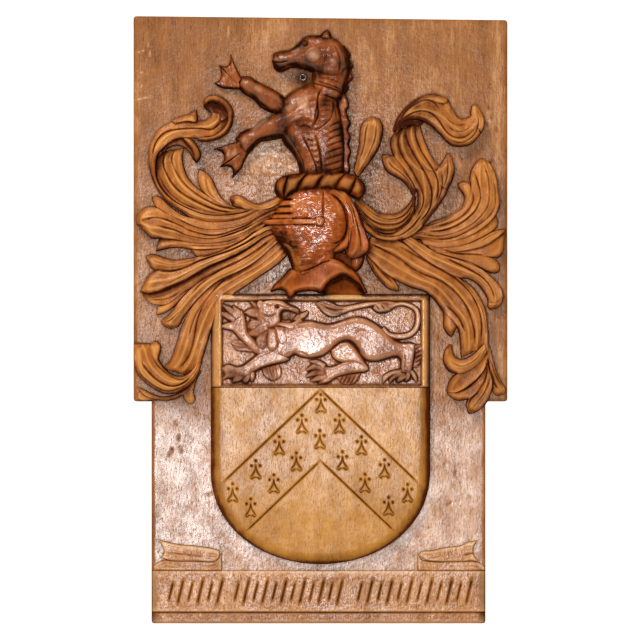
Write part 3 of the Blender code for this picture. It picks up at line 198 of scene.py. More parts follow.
def smooth_line(points, count):
    """Evenly spaced samples of a smooth line through the points."""
    p = np.array(points, float)
    if len(p) > 2:
        ends = np.vstack([2 * p[0] - p[1], p, 2 * p[-1] - p[-2]])
        t = np.linspace(0, 1, 13)[:-1][:, None]
        runs = []
        for a, b, c, d in zip(ends, ends[1:], ends[2:], ends[3:]):
            k0, k1, k2 = (math.sqrt(math.hypot(*(q - r)) + 1e-9) for q, r in ((b, a), (c, b), (d, c)))
            m1 = k1 * ((b - a) / k0 - (c - a) / (k0 + k1) + (c - b) / k1)
            m2 = k1 * ((c - b) / k1 - (d - b) / (k1 + k2) + (d - c) / k2)
            rise = 3 * t**2 - 2 * t**3
            runs.append((1 - rise) * b + rise * c + (t**3 - 2 * t**2 + t) * m1 + (t**3 - t**2) * m2)
        p = np.vstack(runs + [p[-1:]])
    way = np.concatenate([[0], np.cumsum(np.hypot(*np.diff(p, axis=0).T))])
    s = np.linspace(0, way[-1], count + 1)
    return np.column_stack([np.interp(s, way, p[:, 0]), np.interp(s, way, p[:, 1])])


def spread(values, count):
    """A few values spread smoothly over count + 1 places."""
    v = np.array(values, float)
    if len(v) < 3:
        return np.interp(np.linspace(0, len(v) - 1, count + 1), np.arange(len(v)), v)
    return smooth_line(np.column_stack([np.arange(len(v)) * 500, v]), count)[:, 1]


def ramp(values, start, span):
    """Rises from 0 at the start to 1 at the end of the span; a negative span runs downwards."""
    return np.clip((values - start) / span, 0, 1)


def line_length(points):
    return np.hypot(*np.diff(np.array(points, float), axis=0).T).sum()


def nearest_on(px, py, line):
    """Distance from each point to a line, and how many of its steps along the nearest place is."""
    best = np.full(px.shape, 1e9)
    run = np.zeros(px.shape)
    for k, ((ax, ay), (bx, by)) in enumerate(zip(line[:-1], line[1:])):
        dx, dy = bx - ax, by - ay
        along = np.clip(((px - ax) * dx + (py - ay) * dy) / (dx * dx + dy * dy + 1e-12), 0, 1)
        gap = np.hypot(px - ax - along * dx, py - ay - along * dy)
        run = np.where(gap < best, k + along, run)
        best = np.minimum(best, gap)
    return best, run


def round_over(distance, width, drop):
    """How far a rounded edge falls at this distance from it."""
    k = 1 - np.clip(distance / width, 0, 1)
    return drop * (1 - np.sqrt(np.clip(1 - k**2, 0, 1)))


# %% [markdown]
# Hand tools leave two kinds of unevenness: long soft hills where a plane or scraper went, and shallow cups
# where a gouge was pushed in. Both are worked out from a small table of seeded random numbers, so that they
# are the same each time. They only take wood away, as a tool does.

# %% Tool marks
TABLE = 64


def hills(x, z, size_x, size_z, seed):
    """Smooth random hills from 0 to 1, one to each cell of this size."""
    table = np.random.default_rng(seed).random((TABLE, TABLE))
    fx, fz = x / size_x, z / size_z
    ix, iz = np.floor(fx).astype(int), np.floor(fz).astype(int)
    kx, kz = fx - ix, fz - iz
    kx, kz = kx * kx * (3 - 2 * kx), kz * kz * (3 - 2 * kz)
    low = table[iz % TABLE, ix % TABLE] * (1 - kx) + table[iz % TABLE, (ix + 1) % TABLE] * kx
    high = table[(iz + 1) % TABLE, ix % TABLE] * (1 - kx) + table[(iz + 1) % TABLE, (ix + 1) % TABLE] * kx
    return low * (1 - kz) + high * kz


def cups(x, z, size, seed):
    """Depth from 1 in the middle of each gouge cup to 0 on the ridge between two cups."""
    shift = np.random.default_rng(seed).random((TABLE, TABLE, 2)) * 0.9
    fx, fz = x / size, z / size
    ix, iz = np.floor(fx).astype(int), np.floor(fz).astype(int)
    near = np.full(np.shape(fx), 9.0)
    for dx in (-1, 0, 1):
        for dz in (-1, 0, 1):
            place = shift[(iz + dz) % TABLE, (ix + dx) % TABLE]
            gap = np.hypot(ix + dx + place[..., 0] - fx, iz + dz + place[..., 1] - fz)
            near = np.minimum(near, gap)
    return np.clip(1 - near**2, 0, 1)


# %% [markdown]
# A leaf is a patch between its two edges. Across it the sides are rounded and hollow flutes lie between
# sharp ridges; along it the height rises and falls, and the tips drop. A body part has the same grid but is
# rounded by the true distance to its edge, so that it swells like a limb.

# %% A patch between two edges
PLAIN = {"flutes": 0, "hollow": 2.0, "bulge": 0.0, "lean": (0, 0), "tips": (0, 0), "roll": None,
         "notch": (0, 0), "ends": (True, True)}
SIDE_ROUND = 1.4


def leaf(left, right, rise, **carving):
    """A cloth or leaf strip with rounded sides."""
    return {**PLAIN, "bulge": 2.0, "tips": (4, 0), "left": left, "right": right, "rise": rise, **carving}


def part(left, right, rise, **carving):
    """A body part with its edge rounded over all round."""
    return {**PLAIN, "left": left, "right": right, "rise": rise, **carving}


def patch(shape, step_along, step_across):
    """Sheet places, heights and millimetres across and along, on an even grid."""
    left, right = shape["left"], shape["right"]
    reach = max(line_length(left), line_length(right)) * UNIT
    rows = max(8, int(reach / step_along))
    a, b = smooth_line(left, rows), smooth_line(right, rows)
    width = np.hypot(*(b - a).T) * UNIT
    columns = int(np.clip(width.max() / step_across, 8, 90))
    even = np.linspace(0, 1, columns + 1)
    v = 0.7 * even + 0.3 * (0.5 - 0.5 * np.cos(math.pi * even))
    t = 2 * v - 1
    middle = (a + b) / 2
    way = np.concatenate([[0], np.cumsum(np.hypot(*np.diff(middle, axis=0).T) * UNIT)])
    h = spread(shape["rise"], rows)[:, None] + spread(shape["lean"], rows)[:, None] * t[None, :] / 2
    full = np.clip(width / (0.6 * width.max() + 1e-9), 0.15, 1)[:, None]
    h = h - SIDE_ROUND * shape["bulge"] * full * (1 - np.sqrt(np.clip(1 - t**2, 0, 1)))[None, :]
    if shape["flutes"]:
        f = (v * shape["flutes"]) % 1
        h = h - 0.85 * shape["hollow"] * full * (1 - (2 * f - 1)**2)[None, :]
    for drop, from_end in ((shape["tips"][0], way), (shape["tips"][1], way[-1] - way)):
        h = h - round_over(from_end, max(4.0, width.max() / 2), drop)[:, None]
    place = a[:, None, :] * (1 - v)[None, :, None] + b[:, None, :] * v[None, :, None]
    u = np.linspace(0, 1, rows + 1)
    for pull, near, inner in ((shape["notch"][0], 1 - u, 2), (shape["notch"][1], u, -3)):
        aim = middle[0 if near[0] else -1] - middle[inner]
        aim = aim / (math.hypot(*aim) + 1e-9)
        place = place - pull * (near**3)[:, None, None] * (1 - t**2)[None, :, None] * aim
    if shape["roll"]:
        sides = [place[:, 0], place[:, -1]]
        sides += [place[k] for k, used in ((0, shape["ends"][0]), (-1, shape["ends"][1])) if used]
        gaps = [nearest_on(place[..., 0], place[..., 1], side)[0] for side in sides]
        h = h - round_over(np.minimum.reduce(gaps) * UNIT, *shape["roll"])
    across = width[:, None] * v[None, :]
    along = way[:, None] + 0 * across
    return place[..., 0], place[..., 1], h, across, along


# %% [markdown]
# A V-tool cuts the lines between folds. Each cut is a line with a width and a depth in millimetres, and it
# comes out of the wood at both ends.

# %% V-cuts
CUT_STEP = 2.5


def cut_depth(px, py, grooves):
    """How deep the grooves go at these places of the sheet."""
    deep = np.zeros(px.shape)
    for points, width, depth in grooves:
        p = np.array(points, float)
        low, high = p.min(0) - width, p.max(0) + width
        near = (px > low[0]) & (px < high[0]) & (py > low[1]) & (py < high[1])
        if not near.any():
            continue
        steps = max(2, int(line_length(p) * UNIT / CUT_STEP))
        gap, run = nearest_on(px[near], py[near], smooth_line(points, steps))
        fade = np.clip(np.minimum(run, steps - run) / min(0.15 * steps, 3.5), 0.3, 1) if steps > 2 else 1
        cut = depth * fade * np.clip(1.05 - gap * UNIT / (0.42 * width + 0.25), 0, 1)
        deep[near] = np.maximum(deep[near], cut)
    return deep


# %% [markdown]
# A map of the carving's height is kept while the parts are laid, one value to each square millimetre. The
# stain and the rubbed spots are worked out from it at the end, because both depend on what stands nearby.

# %% The height map
MAP_X = np.arange(-256.0, 258.0)
MAP_Z = np.arange(-4.0, 820.0)
height_map = np.zeros((len(MAP_Z), len(MAP_X)))


def lay_on_map(px, py, h):
    """Lays a grid of heights over the map, keeping what is higher."""
    fine = np.stack([mm_x(px), mm_z(py), h], axis=-1)
    for axis in (0, 1):
        step = np.hypot(*np.moveaxis(np.diff(fine[..., :2], axis=axis), -1, 0)).max()
        n = fine.shape[axis]
        at = np.linspace(0, n - 1, (n - 1) * max(1, math.ceil(1.7 * step)) + 1)
        low = np.minimum(at.astype(int), n - 2)
        k = (at - low).reshape((-1, 1, 1) if axis == 0 else (1, -1, 1))
        fine = np.take(fine, low, axis) * (1 - k) + np.take(fine, low + 1, axis) * k
    column = np.clip(np.rint(fine[..., 0] - MAP_X[0]).astype(int), 0, len(MAP_X) - 1)
    row = np.clip(np.rint(fine[..., 1] - MAP_Z[0]).astype(int), 0, len(MAP_Z) - 1)
    np.maximum.at(height_map, (row, column), fine[..., 2])


def read_map(field, x, z):
    """Values of a map at places in millimetres."""
    fx = np.clip(x - MAP_X[0], 0, len(MAP_X) - 1.001)
    fz = np.clip(z - MAP_Z[0], 0, len(MAP_Z) - 1.001)
    ix, iz = fx.astype(int), fz.astype(int)
    kx, kz = fx - ix, fz - iz
    low = field[iz, ix] * (1 - kx) + field[iz, ix + 1] * kx
    high = field[iz + 1, ix] * (1 - kx) + field[iz + 1, ix + 1] * kx
    return low * (1 - kz) + high * kz


# %% [markdown]
# From a grid to a solid: a flat grid is added, its faces are extruded twice, which gives a wall with a ring
# half way up, and then every point is moved to its place. The wall's foot spreads a little and stands
# inside the wood below it. The hidden underside needs no grid, so it is dissolved into one face.

# %% A solid under a grid
THINNEST = 0.6
RING_LEVEL = 0.35
SMOOTH_ANGLE, CRISP_ANGLE = 48, 40


def flat_grid(name, columns, rows):
    bpy.ops.mesh.primitive_grid_add(x_subdivisions=columns, y_subdivisions=rows, size=1)
    bpy.context.object.name = name
    return bpy.context.object


def grid_places(thing, columns, rows):
    """The column, the row and the level above the grid of each point."""
    points = read_points(thing)
    column = np.rint((points[:, 0] + 0.5) * columns).astype(int)
    row = np.rint((points[:, 1] + 0.5) * rows).astype(int)
    return column, row, np.rint(points[:, 2]).astype(int)


def read_values(things, label, kind=int, width=1):
    """One value, or a row of them, from each point, face or corner."""
    values = np.zeros(len(things) * width, kind)
    things.foreach_get(label, values)
    return values.reshape(-1, width) if width > 1 else values


def read_points(thing):
    return read_values(thing.data.vertices, "co", float, 3)


def face_outward():
    """Turns the faces of the active object outward."""
    bpy.ops.object.mode_set(mode="EDIT")
    bpy.ops.mesh.select_all(action="SELECT")
    bpy.ops.mesh.normals_make_consistent(inside=False)
    bpy.ops.object.mode_set(mode="OBJECT")


def store_run(thing, run):
    """Keeps a pair of values for each point as the UV map."""
    if not thing.data.uv_layers:
        thing.data.uv_layers.new(name="UVMap")
    corner = read_values(thing.data.loops, "vertex_index")
    thing.data.uv_layers[0].data.foreach_set("uv", run[corner].ravel())


def select_faces(thing, chosen):
    """Selects these faces of an object and leaves it in edit mode."""
    bpy.ops.object.mode_set(mode="EDIT")
    bpy.ops.mesh.select_mode(type="FACE")
    bpy.ops.mesh.select_all(action="DESELECT")
    bpy.ops.object.mode_set(mode="OBJECT")
    thing.data.polygons.foreach_set("select", chosen)
    bpy.ops.object.mode_set(mode="EDIT")


def faces_below(thing, level):
    """Which faces have all their points below this level, given one level to each point."""
    start = read_values(thing.data.polygons, "loop_start")
    corner = read_values(thing.data.loops, "vertex_index")
    return np.maximum.reduceat(level[corner], start) < 1


def outward(x, z):
    """Unit directions that point out of the grid at its border and are zero inside."""
    out = np.zeros(x.shape + (2,))
    place = np.stack([x, z], axis=-1)
    for rim, inner in ((np.s_[:, 0], np.s_[:, 1]), (np.s_[:, -1], np.s_[:, -2]),
                       (np.s_[0], np.s_[1]), (np.s_[-1], np.s_[-2])):
        away = place[rim] - place[inner]
        out[rim] += away / np.maximum(np.hypot(away[..., 0], away[..., 1]), 1e-6)[..., None]
    return out / np.maximum(np.hypot(out[..., 0], out[..., 1]), 1e-6)[..., None]


def grid_solid(name, x, z, h, across, along, foot, draft):
    """A closed solid from a grid of places and heights in millimetres."""
    rows, columns = x.shape[0] - 1, x.shape[1] - 1
    solid = flat_grid(name, columns, rows)
    bpy.ops.object.mode_set(mode="EDIT")
    bpy.ops.mesh.select_all(action="SELECT")
    for _ in range(2):
        bpy.ops.mesh.extrude_region_move(TRANSFORM_OT_translate={"value": (0, 0, 1)})
    bpy.ops.object.mode_set(mode="OBJECT")
    column, row, level = grid_places(solid, columns, rows)
    top = np.maximum(h[row, column], foot + THINNEST)
    spread_out = outward(x, z)[row, column] * (np.choose(level, (1.0, RING_LEVEL, 0.0)) * draft)[:, None]
    height = np.choose(level, (foot + 0 * top, foot + RING_LEVEL * (top - foot), top))
    wide = np.clip(x[row, column] + spread_out[:, 0], 1000 * panel_low.x, 1000 * panel_high.x)
    points = in_frame(wide, np.maximum(z[row, column] + spread_out[:, 1], 0), height)
    solid.data.vertices.foreach_set("co", points.ravel())
    store_run(solid, np.column_stack([across[row, column], along[row, column]]) / 1000)
    select_faces(solid, faces_below(solid, level))
    bpy.ops.mesh.dissolve_faces()
    face_outward()
    return solid


def join_solids(name, solids, smooth=SMOOTH_ANGLE):
    """Joins solids into one piece, smooth except across sharp edges."""
    bpy.ops.object.select_all(action="DESELECT")
    for solid in solids:
        solid.select_set(True)
    bpy.context.view_layer.objects.active = solids[0]
    if len(solids) > 1:
        bpy.ops.object.join()
    piece = bpy.context.object
    piece.name = name
    bpy.ops.object.shade_smooth_by_angle(angle=math.radians(smooth))
    bpy.ops.object.select_all(action="DESELECT")
    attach(piece, "root")
    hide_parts("carved_panel")
    piece.data.calc_loop_triangles()
    print(name, "has", len(piece.data.loop_triangles), "triangles")
    return piece


def carve(name, parts, grooves, finish, foot=-1.5, draft=1.3, step_along=1.5, step_across=1.1, extra=()):
    """Cuts every part of a group, lays it on the map and joins the group."""
    solids = []
    for part_name, shape in parts.items():
        px, py, h, across, along = patch(shape, step_along, step_across)
        h = h - cut_depth(px, py, grooves) - finish(part_name, mm_x(px), mm_z(py), across, along)
        lay_on_map(px, py, h)
        solids.append(grid_solid(f"{name}_{part_name}", mm_x(px), mm_z(py), h, across, along, foot, draft))
    return join_solids(name, solids + list(extra))


def button(x, y, radius, rise, depth):
    """A low round button, its highest point at this height."""
    middle = in_frame(mm_x(x), mm_z(y), rise - depth)
    bpy.ops.mesh.primitive_uv_sphere_add(segments=28, ring_count=14, radius=radius * UNIT / 1000,
                                         location=middle.tolist(), rotation=(math.pi / 2, 0, 0))
    made = bpy.context.object
    made.scale = (1, 1, depth / (radius * UNIT))
    bpy.ops.object.transform_apply(location=True, rotation=True, scale=True)
    return made


def loosen(part_name, x, z, across, along):
    """The finish of cloth and leaves: fine ripples that run along the flutes."""
    return 0.45 * hills(across, along, 2.6, 19, 3) + 0.4 * hills(x, z, 9, 11, 4)


# %% [markdown]
# The board has a wide upper part and a narrower lower part, sawn square. It could be two boxes, but then the
# shoulders would show a joint that the real board doesn't have. So one grid covers both, its lines run
# along the shoulders, the faces outside the outline are deleted, and the rest is extruded to the back.

# %% The stepped board
BOARD_PITCH = 2.1
CORNER_RADIUS = 4.0


def spaced(stops, pitch):
    """Even values between the stops, with every stop among them."""
    runs = [np.linspace(a, b, max(1, round((b - a) / pitch)) + 1)[:-1] for a, b in zip(stops, stops[1:])]
    return np.concatenate(runs + [[stops[-1]]])


def board_outline():
    """The corners of the board in millimetres, all round."""
    top, step = mm_z(SHEET_TOP), mm_z(STEP_ROW)
    return [(mm_x(UPPER_LEFT), top), (mm_x(UPPER_RIGHT), top - TOP_SLOPE * UNIT), (mm_x(UPPER_RIGHT), step),
            (mm_x(LOWER_RIGHT), step), (mm_x(LOWER_RIGHT), 0), (mm_x(LOWER_LEFT), 0),
            (mm_x(LOWER_LEFT), step), (mm_x(UPPER_LEFT), step), (mm_x(UPPER_LEFT), top)]


BOARD_MARKS = [([(x, y), (x + dx, y + dy)], width, depth) for x, y, dx, dy, width, depth in (
    (175, 420, 1, 6, 3.0, 1.0), (179, 434, -1, 7, 3.4, 1.0), (172, 448, -1, 5, 3.2, 1.0),
    (180, 446, 1, 7, 3.0, 1.0), (168, 452, 1, 4, 2.6, 0.8), (207, 495, 5, -1, 2.8, 0.8),
    (461, 156, 1, 4, 3.0, 1.0), (493, 159, -3, 4, 3.2, 1.0), (488, 103, 1, 7, 2.6, 0.9),
    (493, 112, -1, 7, 2.6, 0.8), (486, 120, 2, 6, 2.4, 0.8), (497, 126, -1, 7, 2.6, 0.8),
    (442, 202, 3, 4, 3.0, 1.0), (438, 334, 1, 7, 3.0, 1.0), (437, 345, 1, 6, 2.6, 0.8),
    (202, 300, 3, 4, 3.0, 0.8), (455, 470, 2, 8, 2.6, 0.8), (447, 505, 4, -2, 2.6, 0.8))]
BOARD_SCUFFS = [
    ([(134, 100.5), (142, 98.5), (151, 96)], 2.2, 1.0), ([(136, 53), (145, 50)], 1.8, 0.8),
    ([(137, 71), (143, 73)], 1.8, 0.8), ([(141, 84), (143, 90)], 1.8, 0.8),
    ([(148, 43), (151, 60)], 1.6, 0.7), ([(228, 24), (229, 44)], 1.6, 0.6),
]


def ground_level(x, z):
    """Depth of the ground below the highest wood: scraped hills, stippling, marks of use and a worn rim."""
    arms = np.clip((250 - np.hypot(x * 1.15, (z - 470) * 0.9)) / 120, 0, 1)
    deep = 0.5 * hills(x, z, 38, 60, 11) + (0.05 + 0.55 * arms) * cups(x, z, 7.5, 12)
    px, py = on_sheet(x, z)
    deep = deep + 0.8 * cut_depth(px, py, BOARD_MARKS)
    rim = nearest_on(x, z, board_outline())[0]
    worn = 1.0 + 1.6 * hills(x, z, 14, 17, 13)
    return deep + round_over(rim, 2.6 + worn, worn)


def build_board():
    step, top = mm_z(STEP_ROW), mm_z(SHEET_TOP)
    xs = spaced([mm_x(v) for v in (UPPER_LEFT, LOWER_LEFT, LOWER_RIGHT, UPPER_RIGHT)], BOARD_PITCH)
    zs = spaced([0, step, top], BOARD_PITCH)
    board = flat_grid("board", len(xs) - 1, len(zs) - 1)
    column, row, _ = grid_places(board, len(xs) - 1, len(zs) - 1)
    x, z = xs[column], zs[row]
    corners = np.array([p.vertices[:] for p in board.data.polygons])
    middle_x, middle_z = x[corners].mean(1), z[corners].mean(1)
    cut_off = (middle_z < step) & ((middle_x < mm_x(LOWER_LEFT)) | (middle_x > mm_x(LOWER_RIGHT)))
    rise = np.where(z > step, (z - step) / (top - step), 0)
    z = z - rise * TOP_SLOPE * UNIT * (x - xs[0]) / (xs[-1] - xs[0])
    x, z = round_corners(x, z)
    board.data.vertices.foreach_set("co", in_frame(x, z, 0 * x).ravel())
    select_faces(board, cut_off)
    bpy.ops.mesh.delete(type="FACE")
    bpy.ops.mesh.select_all(action="SELECT")
    back = {"value": (0, BOARD_THICKNESS / 1000, 0)}
    bpy.ops.mesh.extrude_region_move(TRANSFORM_OT_translate=back)
    bpy.ops.mesh.dissolve_faces()
    bpy.ops.object.mode_set(mode="OBJECT")
    points = read_points(board)
    front = points[:, 1] < -BOARD_THICKNESS / 2000
    x, z = points[front, 0] * 1000, points[front, 2] * 1000 + HANG_HEIGHT
    points[front] = in_frame(x, z, -ground_level(x, z))
    board.data.vertices.foreach_set("co", points.ravel())
    store_run(board, points[:, [0, 2]])
    face_outward()
    return join_solids("board", [board], CRISP_ANGLE)


def round_corners(x, z):
    """Moves the outer corner points of the board onto small arcs."""
    top, step = mm_z(SHEET_TOP), mm_z(STEP_ROW)
    corners = ((mm_x(UPPER_LEFT), top, 1, -1), (mm_x(UPPER_RIGHT), top - TOP_SLOPE * UNIT, -1, -1),
               (mm_x(UPPER_LEFT), step, 1, 1), (mm_x(UPPER_RIGHT), step, -1, 1),
               (mm_x(LOWER_LEFT), 0, 1, 1), (mm_x(LOWER_RIGHT), 0, -1, 1))
    for cx, cz, sx, sz in corners:
        ox, oz = cx + sx * CORNER_RADIUS, cz + sz * CORNER_RADIUS
        dx, dz = x - ox, z - oz
        far = np.hypot(dx, dz)
        near = (dx * sx <= 0) & (dz * sz <= 0) & (far > CORNER_RADIUS)
        near = near & (np.hypot(x - cx, z - cz) < 2 * CORNER_RADIUS)
        x = np.where(near, ox + dx / np.maximum(far, 1e-9) * CORNER_RADIUS, x)
        z = np.where(near, oz + dz / np.maximum(far, 1e-9) * CORNER_RADIUS, z)
    return x, z


board = build_board()

# %% [markdown]
# The shield is a raised table with straight sides and a round foot. Its grid is as wide as the shield at
# every row, so that the rolled edge follows the grid lines and stays clean. The upper field is sunk inside
# a frame, the chevron and its ermine spots are incised below it.

# %% The shield
SHIELD_TOP, SHIELD_TIP, SHIELD_BEND = 294.8, 563.7, 470.0
SHIELD_LEFT, SHIELD_RIGHT = 211.5, 429.5
SHIELD_MIDDLE = (SHIELD_LEFT + SHIELD_RIGHT) / 2
SHIELD_RISE, SHIELD_ROLL, SHIELD_DROP = 16.0, 15.0, 7.5
CHIEF_LINE = 387.2
CHIEF_FRAME = (222.0, 421.5, 300.5, 385.5)
CHIEF_SINK = 4.5
CHEVRON_MIDDLE = 320.5
CHEVRON_TOP, CHEVRON_REACH, CHEVRON_FALL = 389.5, 96.5, 92.0
CHEVRON_CROTCH, CHEVRON_INNER_REACH = 460.4, 73.5
ERMINE_SPOTS = (
    (321, 403), (302, 423.5), (339.5, 423.5), (320, 439), (279.5, 445), (361.5, 445), (296.5, 461),
    (342.5, 460), (256, 469), (384.5, 468), (274, 483), (365, 482.5), (233, 492), (407.5, 492.5),
    (251, 507), (388.5, 505.5),
)


def shield_half(row):
    """Half the width of the shield at this row."""
    t = np.clip((row - SHIELD_BEND) / (SHIELD_TIP - SHIELD_BEND), 0, 1)
    return (SHIELD_RIGHT - SHIELD_LEFT) / 2 * (1 - t**2.15)**0.495


def ermine_cuts(x, y):
    """Three dots over the outline of a tail that spreads into a wavy foot."""
    cuts = [([(x + across, y + down), (x + across, y + down + 0.4)], 4.2, 2.4)
            for across, down in ((0, -8.6), (-4.2, -3.8), (4.2, -3.8))]
    for side in (-1, 1):
        cuts.append(([(x, y - 4.8), (x + 0.7 * side, y + 0.5), (x + 2.6 * side, y + 4.4),
                      (x + 5.6 * side, y + 8.4)], 1.9, 1.8))
        cuts.append(([(x + 5.6 * side, y + 8.4), (x + 3.4 * side, y + 9.6), (x + 1.5 * side, y + 7.4),
                      (x, y + 8.2)], 1.8, 1.6))
    return cuts


def chevron_cuts():
    slope = CHEVRON_FALL / CHEVRON_REACH
    cuts = []
    for top, reach in ((CHEVRON_TOP, CHEVRON_REACH), (CHEVRON_CROTCH, CHEVRON_INNER_REACH)):
        for side in (-1, 1):
            end = (CHEVRON_MIDDLE + side * reach, top + slope * reach)
            cuts.append(([(CHEVRON_MIDDLE, top), end], 2.3, 2.0))
    for x, y in ERMINE_SPOTS:
        cuts += ermine_cuts(x, y)
    return cuts


def shield_height(px, py):
    """Height of the shield's face, before any incised line."""
    rows = np.concatenate([[SHIELD_TOP - 60], np.linspace(SHIELD_BEND, SHIELD_TIP, 40)])
    half = shield_half(rows)
    rim = np.column_stack([np.concatenate([SHIELD_MIDDLE - half, (SHIELD_MIDDLE + half)[::-1]]),
                           np.concatenate([rows, rows[::-1]])])
    h = SHIELD_RISE - round_over(nearest_on(px, py, rim)[0] * UNIT, SHIELD_ROLL, SHIELD_DROP)
    left, right, top, bottom = CHIEF_FRAME
    k = np.clip(np.minimum.reduce([px - left, right - px, py - top, bottom - py]) / 3 + 0.5, 0, 1)
    return h - np.where(py < CHIEF_LINE, CHIEF_SINK * k * k * (3 - 2 * k) + 0.5, 0)


def build_field(name, rows, pitch, cuts, rough):
    """A closed piece of the shield over these rows of the sheet."""
    columns = round((SHIELD_RIGHT - SHIELD_LEFT) * UNIT / pitch)
    u = np.linspace(-1, 1, columns + 1)[None, :]
    u = u * (1.06 - 0.06 * u * u)
    py = rows[:, None] + 0 * u
    px = SHIELD_MIDDLE + u * np.maximum(shield_half(rows), 0.3)[:, None]
    x, z = mm_x(px), mm_z(py)
    edge = np.minimum(py - rows[0], rows[-1] - py) * UNIT
    edge = np.where(rows[-1] > SHIELD_TIP - 1, 9, edge)
    h = shield_height(px, py) - cut_depth(px, py, cuts) - rough * cups(x, z, 8.5, 21)
    h = h - 0.25 * hills(x, z, 30, 45, 22) - round_over(edge, 1.4, 1.0)
    lay_on_map(px, py, h)
    solid = grid_solid(name, x, z, h, x, z, -1.5, 1.2)
    return join_solids(name, [solid], CRISP_ANGLE)


def rim_rows(first, pitch):
    """Rows down to the shield's tip, closer together where the rim turns in."""
    fine = np.linspace(first, SHIELD_TIP, 2000)
    way = np.concatenate([[0], np.cumsum(np.hypot(np.diff(fine), np.diff(shield_half(fine))))])
    count = round(way[-1] * UNIT / pitch)
    return np.interp(np.linspace(0, way[-1], count + 1), way, fine)


field_cuts = chevron_cuts()
shield_field = build_field("shield_field", rim_rows(CHIEF_LINE + 0.4, 1.12), 1.0, field_cuts, 0.22)
chief_rows = np.linspace(SHIELD_TOP, CHIEF_LINE - 0.4, 96)
shield_chief = build_field("shield_chief", chief_rows, 1.35, [], 0.45)

# %% [markdown]
# The motto band crosses the foot of the board. The real one carries an inscription; here its place holds
# slanted wedge cuts, alternately long and short, which aren't letters. Below it the board's edge is a strip
# one step lower, and a groove runs between them.

# %% The motto band
MOTTO_RISE, STRIP_RISE = 4.0, 2.2
BAND_INSET = 0.25
STROKE_GROUPS = ((171, 220), (237, 340), (360, 469))
STROKE_SPACING, STROKE_ROW, STROKE_SLANT = 9.5, 591.5, 0.24


def stroke_cuts():
    cuts = []
    for start, end in STROKE_GROUPS:
        count = round((end - start) / STROKE_SPACING)
        for k in range(count + 1):
            x = start + (end - start) * k / count
            tall, width = (13, 4.4) if k % 2 else (9.5, 3.4)
            lean = STROKE_SLANT * tall
            cuts.append(([(x - lean, STROKE_ROW + tall), (x + lean, STROKE_ROW - tall)], width, 2.6))
    return cuts


def build_band(name, first, last, rise, pitch, cuts):
    rows = np.linspace(first, last, round((last - first) * UNIT / pitch) + 1)
    left, right = mm_x(LOWER_LEFT) + BAND_INSET, mm_x(LOWER_RIGHT) - BAND_INSET
    x = np.linspace(left, right, round((right - left) / pitch) + 1)[None, :] + 0 * rows[:, None]
    z = mm_z(rows)[:, None] + 0 * x
    px, py = x / UNIT + SHEET_MIDDLE, rows[:, None] + 0 * x
    side = np.minimum(x - left, right - x)
    edge = np.minimum(py - first, last - py) * UNIT
    h = rise - round_over(side, 8, 0.7 * rise) - round_over(edge, 1.6, 1.2)
    h = h - cut_depth(px, py, cuts) - 0.25 * cups(x, z, 9, 31) - 0.2 * hills(x, z, 40, 20, 32)
    lay_on_map(px, py, h)
    x, z = round_corners(x, z)
    return grid_solid(name, x, z, h, x, z, -0.6, 0.0)


band_solids = [build_band("band_face", MOTTO_TOP + 0.3, MOTTO_BOTTOM, MOTTO_RISE, 1.05, stroke_cuts()),
               build_band("band_foot", MOTTO_BOTTOM + 0.1, SHEET_BOTTOM - 0.2, STRIP_RISE, 2.0, [])]
motto_band = join_solids("motto_band", band_solids, CRISP_ANGLE)

# %% [markdown]
# Each end of the ribbon is folded back behind the band, in two low layers.

# %% The ribbon's folded ends
FOLDS = {
    "fold_l_top": part([(157.5, 539.5), (180, 544.5), (192, 545.5), (215, 549), (220, 551)],
        [(160.5, 557.5), (172, 560.5), (196, 561), (215, 561), (219.5, 557)], [5.5, 5, 5, 5.5, 5],
        roll=(2, 1.6), notch=(5, 0)),
    "fold_l_low": part([(153.5, 566.5), (158, 562.5), (164, 560), (176, 560.5), (192, 560.5), (217, 559.5),
        (221.5, 552)], [(154, 570), (170, 570.5), (222, 570.5)], [3.6, 3.4, 3.4, 3.8], roll=(2, 1.5)),
    "fold_r_top": part([(418.5, 555.5), (422, 551.5), (432, 550.5), (446, 547.5), (460, 545.5), (468, 542),
        (477.5, 540.5)], [(421.5, 557), (426, 560), (462, 561.5), (472, 560.5), (478.5, 561.5)],
        [5, 5.5, 5, 5, 5.5], roll=(2, 1.6), notch=(0, 5)),
    "fold_r_low": part([(417.5, 553), (422, 559.5), (478, 562), (484.5, 566.5)], [(417.5, 570.5),
        (468, 570.5), (485, 570)], [3.8, 3.4, 3.4, 3.6], roll=(2, 1.5)),
}
FOLD_CUTS = [([(163.5, 552.5), (176, 553.5), (190, 555), (205, 556.5)], 2, 0.9),
             ([(464, 555), (470, 553.5), (476, 552.5)], 2.4, 1.6)]
motto_folds = carve("motto_folds", FOLDS, FOLD_CUTS, loosen, draft=0.8)

# %% [markdown]
# The mantling is a cloth cut into leaves, which blows out from the helmet. Each leaf is a strip from its
# free tip to its root, and a later strip lies over an earlier one where it stands higher.

